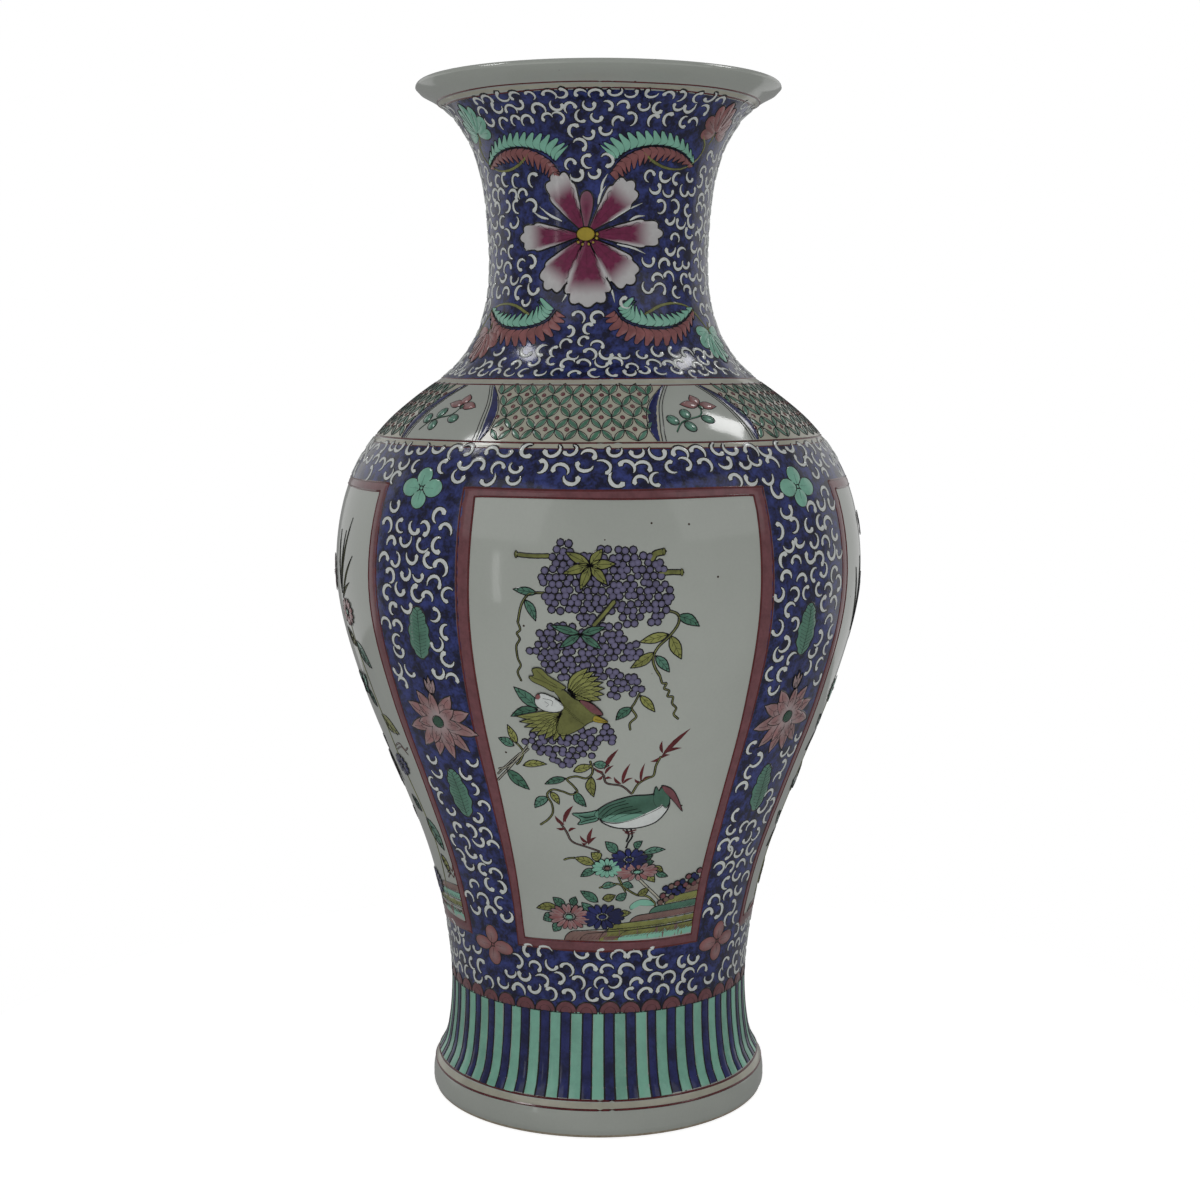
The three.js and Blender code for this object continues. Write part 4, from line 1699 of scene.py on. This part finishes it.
def patch(palette, enamel, points, move, thick=0.26, samples=28, line=0.5, wash=None, hub=None):
    """A filled and outlined patch through listed points."""
    points = np.array(points, dtype=float) + (move, 0)
    rim = closed_curve(points, samples)
    centre = rim.mean(axis=0) if hub is None else np.add(hub, (move, 0))
    palette[enamel].dome(centre, rim, thick, 3, wash)
    palette.ink(rim, line, thick * 0.9, closed=True)


def ink_lines(palette, lines, move, width=0.4, thick=0.42, enamel="black_line"):
    for points in lines:
        palette[enamel].stroke(curve(np.array(points) + (move, 0), 4 * len(points)), width, thick)


def paint_flying_bird(palette, move):
    """An olive bird that dives to the right, with both wings open."""
    tail = ((-12.8, 202.4), (-15, 204.6), (-17.2, 206.6), (-17.8, 208.6), (-16.8, 209), (-17.0, 211.8),
        (-15.2, 212.2), (-13.6, 209), (-11.4, 206.2), (-10.2, 204))
    patch(palette, "bird_olive", tail, move, wash=(0.1, 0.6), samples=36)
    ink_lines(palette, (((-12, 204), (-14.6, 206.6), (-17, 208.4)), ((-12, 205), (-14.4, 208.2), (-16,
                    211.4))), move)
    lower = ((-21.7, 191), (-20.9, 188.6), (-19.9, 186.4), (-18.8, 184.4), (-17.4, 182.8), (-15.6, 181.4),
             (-13.6, 180.6), (-11.4, 181.0))
    for k, tip in enumerate(lower):
        root = (-10.6 - 0.25 * k, 193.6 - 0.3 * k)
        leaf_to(palette, "bird_olive", root, tip, 4.2, move, 0.8, 0, 0.5, 0.9)
    upper = ((-5.4, 213), (-4.2, 211.4), (-3.2, 209.2), (-2.5, 206.6), (-2.2, 204), (-2.3, 201.4),
        (-3.0, 199))
    for k, tip in enumerate(upper):
        root = (-9.8 + 0.2 * k, 202.8 - 0.5 * k)
        leaf_to(palette, "bird_olive", root, tip, 4.0, move, 1.0, 0, 0.5, 1.0)
    body = ((-13.6, 205.2), (-10.6, 203.2), (-8.6, 199.6), (-6.0, 197.6), (-3.6, 193), (-3.4, 190.8),
        (-5.6, 189), (-7.6, 186.2), (-10.4, 183.6), (-12.4, 184), (-12.6, 189), (-11.2, 195), (-11.8, 200))
    patch(palette, "bird_olive", body, move, 0.34, 44, wash=(0.0, 0.3), hub=(-8.2, 193))
    patch(palette, "white_enamel", ((-17.0, 198.6), (-15.6, 201.6), (-13.4, 200.4), (-11.8, 198.6), (-10.6,
                195.6), (-12.2, 193.6), (-14.8, 193.8), (-16.6, 195.8)), move, 0.4, 24, 0.45)
    patch(palette, "rose", ((-16.8, 199.8), (-16.2, 201.4), (-15.6, 200.2), (-16.2, 198.8)), move, 0.46, 10,
        0.3)
    ink_lines(palette, (((-15.2, 199.6), (-13.2, 198.6), (-13.4, 196.4)), ((-14.8, 198.2), (-14, 197),
                (-14.6, 196))), move, 0.5, 0.58)
    patch(palette, "rose_frame", ((-7.6, 199.0), (-5.4, 198.2), (-3.6, 195.6), (-2.5, 192.6), (-4.2, 192.8),
            (-5.8, 195)), move, 0.46, 18, 0.45)
    patch(palette, "yellow", ((-4.4, 192.4), (-3.0, 191.6), (-1.4, 189.4), (-3.2, 189.2), (-4.8, 190.2)),
        move, 0.42, 14, 0.45)
    ink_lines(palette, (((-4.2, 190.9), (-1.8, 189.8)),), move, 0.3, 0.6)
    bars = [((-12.6 + 0.9 * k, 199.4 - 1.9 * k), (-10.2 + 0.9 * k, 196.2 - 1.9 * k)) for k in range(5)]
    ink_lines(palette, bars, move, 0.25, 0.5)
    ink_lines(palette, (((-12, 192), (-12.6, 187), (-13.4, 182.6)), ((-9.6, 203), (-6.8, 200.4), (-4.4,
                    198.6))), move, 0.45, 0.5)


def paint_standing_bird(palette, move):
    """A green bird with a white belly, a ruffled crest and a long curved bill."""
    tail = ((-3.6, 144.6), (-6.0, 143.2), (-9.0, 142.2), (-8.2, 144.6), (-10.4, 147.2), (-8.0, 147.6),
        (-5.6, 148.2), (-3.4, 148.8))
    patch(palette, "bird_green", tail, move, 0.26, 30, 0.75, (0.1, 0.7))
    belly = ((-3.0, 144.4), (0.2, 141.2), (4.6, 140.2), (9.0, 140.9), (12.4, 143), (14.7, 147.4),
        (15.2, 151.4), (13.4, 153), (9, 152), (3, 150), (-1, 148))
    patch(palette, "white_enamel", belly, move, 0.26, 40, 0.85, hub=(6.5, 146))
    back = ((-4.6, 147.0), (-2.4, 150.8), (0.6, 153.4), (5.0, 155.4), (9.0, 155.6), (12.0, 155.8),
        (13.8, 153.4), (13.2, 150.0), (10.6, 147.6), (5.6, 144.4), (1.2, 142.9), (-2.0, 143.8))
    patch(palette, "bird_green", back, move, 0.4, 44, 0.8, (0.0, 0.25), hub=(4, 149.5))
    wing = ((-2.6, 144.2), (1.0, 143.2), (5.0, 144.2), (9.0, 147.0), (5.5, 147.6), (1.4, 147.4), (-2, 146.4))
    patch(palette, "bird_green", wing, move, 0.5, 30, 0.3, (0.9, 0.7))
    ink_lines(palette, (((-3.4, 147.2), (-1, 151), (3.4, 153.6)), ((-2.6, 146.4), (0.2, 150.4), (4.2,
                    152.4)), ((-1.8, 145.8), (1.6, 149.4), (5.4, 151)),
            ((-0.8, 145.2), (2.6, 148.2), (6.6, 149.6)), ((0.4, 144.6), (3.6, 146.8), (7.8, 148.4)),
            ((-4.4, 146.6), (-6.6, 145.8), (-8.6, 146.6)), ((-4.2, 145.4), (-6.6, 144.4), (-8.2, 143.4))),
        move, 0.5, 0.68)
    head = ((11.0, 151.6), (10.6, 155), (10.9, 159.4), (11.8, 157.4), (12.6, 159.2), (14.0, 157.6),
        (15.0, 154.6), (15.2, 151.4), (14.4, 149), (13.2, 150.6), (12.2, 149.8))
    patch(palette, "bird_green", head, move, 0.48, 36, 0.55, (0.1, 0.2), hub=(13, 153.6))
    bill = ((12.4, 159.6), (14.2, 158.9), (16.0, 156.6), (17.8, 152), (19.3, 146.8), (16.6, 151.4),
        (14.8, 154.4), (13.2, 157))
    patch(palette, "rose_frame", bill, move, 0.56, 30, 0.5, hub=(14.6, 156.4))
    ink_lines(palette, (((5.3, 140.4), (5.9, 136.4), (4.9, 133.4), (4.4, 131)), ((4.1, 140.2), (4.9, 137),
                (4.4, 134))), move, 0.9, 0.3)
    ink_lines(palette, (((3.2, 139.6), (4.4, 138.6), (6.8, 139.4)), ((3.9, 138.2), (5.2, 137.6), (6.4,
                    138.2))), move, 0.7, 0.4, "red_line")


# ---------------------------------------------------------------- the garden at the foot of a vine panel

GARDEN_LEAVES = (
    (GREEN, (1.9, 128.6), (-1.6, 134.2), 4.4), (GREEN, (9.4, 128.2), (16.2, 129.2), 3.4),
    (GREEN, (9.8, 125.4), (12.7, 127), 3.2), (GREEN, (10.0, 122.4), (13.2, 123.8), 3.6),
    (OLIVE, (10.4, 118.6), (14.2, 113.8), 4.0), (OLIVE, (-3.4, 125.0), (-5.6, 129), 4.6),
    (GREEN, (-4.2, 121.0), (-8.9, 117.4), 3.8), (OLIVE, (-4.6, 123.4), (-10.6, 126.4), 4.2),
    (GREEN, (14.0, 119.2), (18.4, 116), 3.0), (OLIVE, (9.0, 108.0), (12.6, 111.6), 3.4),
    (GREEN, (2.0, 106.4), (5.4, 109.6), 3.8), (OLIVE, (-2.2, 106.8), (1.9, 108.6), 3.8),
    (GREEN, (-3.6, 105.4), (-9.2, 110.6), 4.2), (GREEN, (-4.6, 101.6), (-8.9, 105.2), 4.0),
    (OLIVE, (-16.8, 102.4), (-24.2, 101.2), 4.0), (GREEN, (-18.2, 98.6), (-22.2, 95.8), 4.8),
    (GREEN, (-16.4, 94.8), (-18.8, 90.8), 4.2), (GREEN, (-14.2, 103.6), (-18.2, 107), 4.2),
    (GREEN, (-12.0, 103.6), (-10.8, 107.8), 3.6), (OLIVE, (3.0, 99.6), (7.2, 100), 3.2),
    (GREEN, (-2.6, 112.4), (2.2, 113.6), 3.2), (GREEN, (7.2, 130.2), (9.0, 134), 3.4),
    (OLIVE, (13.4, 121.6), (16.6, 118.2), 2.8), (GREEN, (3.6, 113.8), (7.4, 112.0), 3.4),
)

GARDEN_STEMS = (
    (OLIVE, 1.0, ((2.6, 117), (4.4, 112.6), (8.6, 108.4), (12.2, 107.4), (14.8, 104.2), (15.2, 102.4))),
    ("cream", 1.5, ((9.2, 115.6), (12, 111.6), (15.4, 107), (18.2, 102.8))),
    (OLIVE, 0.9, ((-10.4, 126.4), (-12.4, 126), (-13.6, 125.2))), (OLIVE, 0.8, ((-3.2, 112.2), (0.4, 114),
            (3.4, 113.4), (5.0, 110.2))),
)

# Daisies as turn, height, enamel, width, height in mm and number of petals
GARDEN_DAISIES = (
    (8.2, 119.6, "rose", 9.6, 4.6, 15), (5.4, 125.6, "cobalt", 8.6, 5.6, 13),
    (-0.9, 121.8, TURQUOISE, 6.8, 5.0, 14), (-13.1, 98.4, "rose", 9.4, 6.4, 18),
    (-2.2, 98.6, "cobalt", 9.8, 6.2, 15),
)

ROCK_RISE = 0.06  # mm that a ledge climbs for each degree to the right

# Layers of rock as enamel, left tip, foot and crown
ROCK_LAYERS = (
    (MAUVE, -15.2, 86.9, 91.6), (MAUVE, -9.8, 86.9, 90.4), (OLIVE, -3.2, 86.9, 91.6),
    (TURQUOISE, 3.2, 86.9, 90.6), (OLIVE, -0.6, 90.6, 94.2), (MAUVE, 7.0, 94.2, 97.4),
    (GREEN, 13.4, 97.4, 100.8), (OLIVE, 18.6, 100.8, 104.6), (MAUVE, 22.4, 104.6, 108.0),
    (MAUVE, 25.6, 108.0, 110.6),
)


class PaintGardens(bpy.types.Operator):
    """Paint the flowers and rocks at the foot of the front and back panels"""

    bl_idname = "vase.paint_gardens"
    bl_label = "Paint Gardens"

    def execute(self, context):
        hand = painter(10)
        palette = Palette("garden", 0.02)
        blooms = Palette("garden_blooms", 0.3)
        for move in (0.0, BACK):
            for layer in ROCK_LAYERS:
                rock_layer(palette, hand, *layer, move, 30.4)
            mound = ((6.8, 103.4), (9.4, 105.8), (12.8, 105.6), (15.2, 103), (12.4, 102.8), (9.4, 103.2),
                (7.2, 101.4))
            patch(palette, "turquoise", mound, move, 0.14, 24, 0.3, (0.4, 0.2))
            paint_stems(palette, GARDEN_STEMS, move)
            paint_leaves(palette, hand, GARDEN_LEAVES, move)
            for turn, *flower in GARDEN_DAISIES:
                daisy(blooms, hand, turn + move, *flower)
            for k in range(21):
                share = k / 20
                place = (16.8 + 12.6 * share + move,
                    105.6 + 7.4 * share + 2.5 * (k % 3) - 1.2 + hand.uniform(-0.6, 0.6))
                enamel = hand.choice(("cobalt", "cobalt", "rose_frame", "rock_mauve", "bird_green"))
                spot(blooms, enamel, place, 2.7, 2.6, 8, 0.4, 2, 0.6)
        palette.finish()
        blooms.finish()
        return {"FINISHED"}


def rock_layer(palette, hand, enamel, left, foot, crown, move, right):
    """One long ledge of rock, rounded at its left end and hatched with slanting strokes."""
    top = crown - 0.15
    edge = curve(rows((left, foot + 0.2), (left + 0.7, (foot + crown) / 2), (left + 2.6, top - 0.3),
            (left + 6, top), (min(left + 14, right - 1), top + 0.2), (right, top)), 26)
    base = edge.copy()
    base[:, 1] = foot
    edge[:, 1] += ROCK_RISE * (edge[:, 0] + 16)
    if foot > PANEL_FOOT + 1:
        base[:, 1] += ROCK_RISE * (edge[:, 0] + 16)
    edge += (move, 0)
    base += (move, 0)
    palette[enamel].band(base, edge, 0.16, across=2, wash=hand.uniform(0.1, 0.5), flat_ends=True)
    palette.ink(edge, 0.55, 0.24)
    turn = left + 2.6
    hatching = {"turquoise": "bird_green", "yellow_green": "bird_olive", "leaf_green": "bird_green"}
    while turn < right - 1.5:
        lift = ROCK_RISE * (turn + 16)
        hair = rows((turn, foot + 0.5 + lift), (turn + 1.6, (foot + top) / 2 + 0.4 + lift)) + (move, 0)
        palette[hatching.get(enamel, "rose_frame")].stroke(hair, 0.35, 0.22)
        turn += hand.uniform(0.8, 1.6)


def daisy(palette, hand, turn, height, enamel, wide, tall, petals):
    """A many-petalled flower seen a little from the side, with a dotted heart."""
    t = round_turn(10)
    for k in range(petals):
        angle = 360 * (k + 0.5) / petals + hand.uniform(-4, 4)
        c, s = ray(angle)
        reach = math.hypot(c * wide, s * tall)
        lean = math.degrees(math.atan2(s * tall, c * wide))
        girth = 0.24 * (wide + tall) / 2 * 12 / petals + 0.7
        shape = paired(reach * (0.62 + 0.36 * np.cos(t)), girth / 2 * np.sin(t) * (1 + 0.25 * np.cos(t)))
        rim = placed(shape, turn, height, lean)
        outlined(palette, enamel, rim.mean(axis=0), rim, 0.24 + 0.05 * (k % 2), rings=2, line=0.5,
                 wash=(0.0, 0.35 if k % 3 else 0.1))
    heart = {"rose": "turquoise", "cobalt": "cobalt", "turquoise": "rock_mauve"}[enamel]
    spot(palette, heart, (turn, height), wide * 0.34, tall * 0.34, 10, 0.42, 2, 0.5)
    for k in range(5):
        reach = (0.5 * wide * 0.2 * math.cos(k * 1.26), 0.5 * tall * 0.2 * math.sin(k * 1.26))
        seed = placed([reach], turn, height)[0]
        palette["black_line"].dome(seed, placed(oval(0.5, 0.5, 5), *seed), 0.66, rings=1)


# ---------------------------------------------------------------- the side panels

# A lotus pond with wading birds, as measured from the panel's middle: enamel, root, tip and width in mm
POND_LEAVES = (
    (GREEN, (17.4, 214), (23.4, 203), 7.0), (OLIVE, (16.6, 211), (12.2, 219), 5.6),
    (OLIVE, (19.2, 181), (26.6, 174), 7.4), (GREEN, (17.8, 184), (13.2, 192.6), 6.0),
    (GREEN, (22.0, 134), (27.2, 119.6), 8.6), (GREEN, (20.2, 136), (15.8, 143), 5.6),
    (OLIVE, (23.4, 117), (26.4, 108), 4.6), (GREEN, (-3.0, 205), (-12.0, 214), 7.6),
    (OLIVE, (-2.6, 204), (-10.4, 196), 6.4), (GREEN, (-14.6, 172), (-22.8, 179), 7.6),
    (OLIVE, (-14.2, 170), (-21.6, 162), 6.0), (GREEN, (2.4, 160), (9.6, 168), 7.2),
    (GREEN, (-16.0, 126), (-24.4, 134), 6.6), (OLIVE, (-15.0, 124), (-22.6, 117), 5.4),
    (OLIVE, (2.0, 128), (8.8, 134), 5.4), (GREEN, (1.0, 126), (-5.6, 131.4), 5.8),
)
POND_STEMS = (
    (OLIVE, 1.3, ((18.4, 94), (21, 110), (22.4, 124), (21.6, 140), (19.4, 158), (19.8, 176), (18.6, 196),
            (17.2, 212), (16.4, 226))), (OLIVE, 1.2, ((-6, 92), (-2.6, 112), (1.4, 128), (2.6, 146), (0.6,
                166), (-1.8, 186), (-3.0, 206), (-1.6, 226), (1.2, 240))),
    (OLIVE, 1.0, ((-18, 92), (-16.4, 110), (-15.4, 126), (-16.4, 148), (-14.4, 170), (-16.2, 188))),
    (MAUVE, 0.8, ((20.0, 166.6), (24.0, 169), (26.2, 166.6), (28.4, 168.2))),
    (MAUVE, 0.7, ((20.4, 165.2), (24.4, 167.4), (27.0, 164.6))), (MAUVE, 0.8, ((24.4, 108.4), (27.0, 111.6),
            (28.4, 110), (29.6, 113))), (MAUVE, 0.7, ((24.0, 106), (26.8, 108.8), (28.2, 107.2), (29.4,
                109.4))),
)
POND_DAISIES = (
    (16.4, 226.4, "rose", 8.0, 6.4, 12), (1.2, 241, "rose", 11.0, 8.6, 14),
    (-16.2, 189, TURQUOISE, 8.0, 6.4, 13), (19.6, 158, "cobalt", 7.0, 5.6, 12),
    (-9, 101, "rose", 9.0, 6.2, 15), (9, 100, "cobalt", 9.0, 6.2, 15),
)
POND_GRASS = (
    ((13.6, 236), (19.6, 268)), ((13.8, 236), (16.2, 262)), ((13.4, 234), (11.8, 262)),
    ((14.2, 233), (21.8, 252)), ((13.8, 232), (19.8, 240)), ((-18.2, 216), (-22.8, 246)),
    ((-18, 216), (-17, 250)), ((-17.8, 216), (-12.8, 242)),
)


class PaintPonds(bpy.types.Operator):
    """Paint the lotus pond of the two side panels"""

    bl_idname = "vase.paint_ponds"
    bl_label = "Paint Ponds"

    def execute(self, context):
        hand = painter(11)
        palette = Palette("pond", 0.02)
        blooms = Palette("pond_blooms", 0.3)
        for middle in (PANEL_CENTRES[1], PANEL_CENTRES[3]):
            pond_rocks(palette, hand, middle)
            paint_stems(palette, POND_STEMS, middle)
            paint_leaves(palette, hand, POND_LEAVES, middle)
            for root, tip in POND_GRASS:
                leaf_to(palette, "yellow_green", root, tip, 1.3, middle, 0.8, 0, 0.26)
            for turn, *flower in POND_DAISIES:
                daisy(blooms, hand, turn + middle, *flower)
            paint_standing_bird(blooms, middle - 10.0)
            butterfly(blooms, (-11 + middle, 262), "rose")
            butterfly(blooms, (13 + middle, 193), "turquoise")
        palette.finish()
        blooms.finish()
        return {"FINISHED"}


def pond_rocks(palette, hand, middle):
    for layer in (("rock_mauve", -26.0, 86.9, 91.0), ("turquoise", -17.0, 86.9, 90.2),
            ("yellow_green", -10.0, 90.2, 94.0), ("turquoise", 4.0, 94.0, 97.4),
            ("rock_mauve", 15.0, 97.4, 101.0)):
        rock_layer(palette, hand, *layer, middle, 29.6)


def butterfly(palette, centre, enamel):
    """A small butterfly with its wings open."""
    for angle, length, width in ((38, 8.4, 5.6), (142, 8.4, 5.6), (-42, 6.0, 4.2), (222, 6.0, 4.2)):
        painted_leaf(palette, enamel, *centre, angle, length, width, veins=2, wash=0.4)
    body = placed([(0, -4), (0, 0), (0, 3)], *centre)
    palette.ink(curve(body, 6), 1.1, 0.4)
    for side in (-1, 1):
        feeler = placed([(0, 3), (side * 1.4, 5), (side * 3.0, 6.4)], *centre)
        palette.ink(curve(feeler, 6), 0.35, 0.3)


class SetStage(bpy.types.Operator):
    """Set the floor, the lights and the camera"""

    bl_idname = "vase.set_stage"
    bl_label = "Set Stage"

    def execute(self, context):
        floor_and_sky(context.scene)
        softbox("left_softbox", (-0.85, -0.8, 0.85), 0.9, 0.7, 1.04)
        softbox("front_softbox", (0.05, -1.0, 1.5), 0.7, 0.5, 0.62, mirrored_in_glaze=False)
        softbox("right_softbox", (0.9, -0.75, 0.85), 0.9, 0.7, 0.88)
        softbox("low_softbox", (0.0, -1.3, -0.35), 0.9, 0.4, 3.1, mirrored_in_glaze=False)
        softbox("foot_softbox", (0.0, -0.32, 0.02), 0.5, 0.03, 0.08, 0.04, mirrored_in_glaze=False)
        softbox("left_lamp", (-0.66, 0.05, 1.22), 0.22, 0.22, 1.1)
        softbox("right_lamp", (0.64, 0.22, 1.16), 0.22, 0.22, 1.0)
        softbox("window_softbox", (-1.05, -1.05, 0.2), 0.08, 0.5, 0.2)
        softbox("left_wall_bounce", (-1.0, 0.9, 0.4), 1.2, 1.2, 1.6)
        softbox("right_wall_bounce", (1.0, 0.9, 0.4), 1.2, 1.2, 1.6)
        place_camera(context.scene)
        return {"FINISHED"}


def floor_and_sky(scene):
    """A plain pale floor that meets a white sky."""
    start_clean()
    bpy.ops.mesh.primitive_circle_add(vertices=96, radius=0.32, fill_type="NGON")
    floor = bpy.context.object
    floor.name = "stage_floor"
    paper = bpy.data.materials.new("pale_paper")
    paper.use_nodes = True
    shader = paper.node_tree.nodes["Principled BSDF"]
    shader.inputs["Base Color"].default_value = (0.6, 0.6, 0.6, 1)
    shader.inputs["Roughness"].default_value = 0.9
    shader.inputs["Specular IOR Level"].default_value = 0.1
    shader.inputs["Emission Color"].default_value = (1, 1, 1, 1)
    shader.inputs["Emission Strength"].default_value = 0.82
    floor.data.materials.append(paper)
    floor.visible_glossy = False
    floor.visible_diffuse = False
    world = bpy.data.worlds.new("white_room")
    world.use_nodes = True
    scene.world = world
    tree = world.node_tree
    sky = tree.nodes["Background"]
    sky.inputs["Color"].default_value = (1, 1, 1, 1)
    seen = add_node(tree, "ShaderNodeLightPath")
    strength = add_node(tree, "ShaderNodeMapRange", {"To Min": 0.24, "To Max": 1.0})
    tree.links.new(seen.outputs["Is Camera Ray"], strength.inputs["Value"])
    tree.links.new(strength.outputs["Result"], sky.inputs["Strength"])
    scene.view_settings.view_transform = "Standard"


def softbox(name, place, width, height, power, aim=0.25, mirrored_in_glaze=True):
    """A lamp with a soft square face, turned to a height on the vase's axis."""
    light = bpy.data.lights.new(name, "AREA")
    light.shape = "RECTANGLE"
    light.size, light.size_y, light.energy = width, height, power
    box = bpy.data.objects.new(name, light)
    bpy.context.scene.collection.objects.link(box)
    box.location = place
    box.rotation_euler = (Vector((0, 0, aim)) - Vector(place)).to_track_quat("-Z", "Y").to_euler()
    box.visible_glossy = mirrored_in_glaze
    box.visible_camera = False


def place_camera(scene):
    """A camera at hand height, a little to the left of the front and looking slightly down."""
    lens = bpy.data.cameras.new("camera")
    lens.lens = 58.94
    lens.shift_x = 0.0013
    camera = bpy.data.objects.new("camera", lens)
    scene.collection.objects.link(camera)
    distance, turn = 0.8951, math.radians(-3.5)
    camera.location = (distance * math.sin(turn), -distance * math.cos(turn), 0.334)
    camera.rotation_euler = (math.radians(83.14), 0, turn)
    scene.camera = camera


# ---------------------------------------------------------------- add-on

WORK_ORDER = (
    TurnWalls,
    LayBlueGround,
    DrawLines,
    PaintFrames,
    PaintFootStripes,
    PaintDiaperBand,
    PaintNeckFlowers,
    PaintNeckLeaves,
    PaintPillarFlowers,
    PaintBerryVines,
    PaintBirds,
    PaintGardens,
    PaintPonds,
    PaintScrolls,
    SetStage,
)


class VasePanel(bpy.types.Panel):
    """The vase's steps and settings"""

    bl_label = "Baluster Vase"
    bl_idname = "VIEW3D_PT_vase"
    bl_space_type = "VIEW_3D"
    bl_region_type = "UI"
    bl_category = "Vase"

    def draw(self, context):
        layout = self.layout
        for settings in (context.scene.vase_sizes, context.scene.vase_colours):
            box = layout.box()
            for name in settings.bl_rna.properties.keys():
                if name not in ("rna_type", "name"):
                    box.prop(settings, name)
        for step in WORK_ORDER:
            layout.operator(step.bl_idname)


CLASSES = (VaseSizes, VaseColours, *WORK_ORDER, VasePanel)


def register():
    for cls in CLASSES:
        bpy.utils.register_class(cls)
    bpy.types.Scene.vase_sizes = PointerProperty(type=VaseSizes)
    bpy.types.Scene.vase_colours = PointerProperty(type=VaseColours)


def unregister():
    del bpy.types.Scene.vase_colours
    del bpy.types.Scene.vase_sizes
    for cls in reversed(CLASSES):
        bpy.utils.unregister_class(cls)


def main():
    register()
    for step in WORK_ORDER:
        group, name = step.bl_idname.split(".")
        result = getattr(getattr(bpy.ops, group), name)()
        if "FINISHED" not in result:
            raise RuntimeError(f"{step.bl_label} did not finish")


if __name__ == "__main__":
    main()
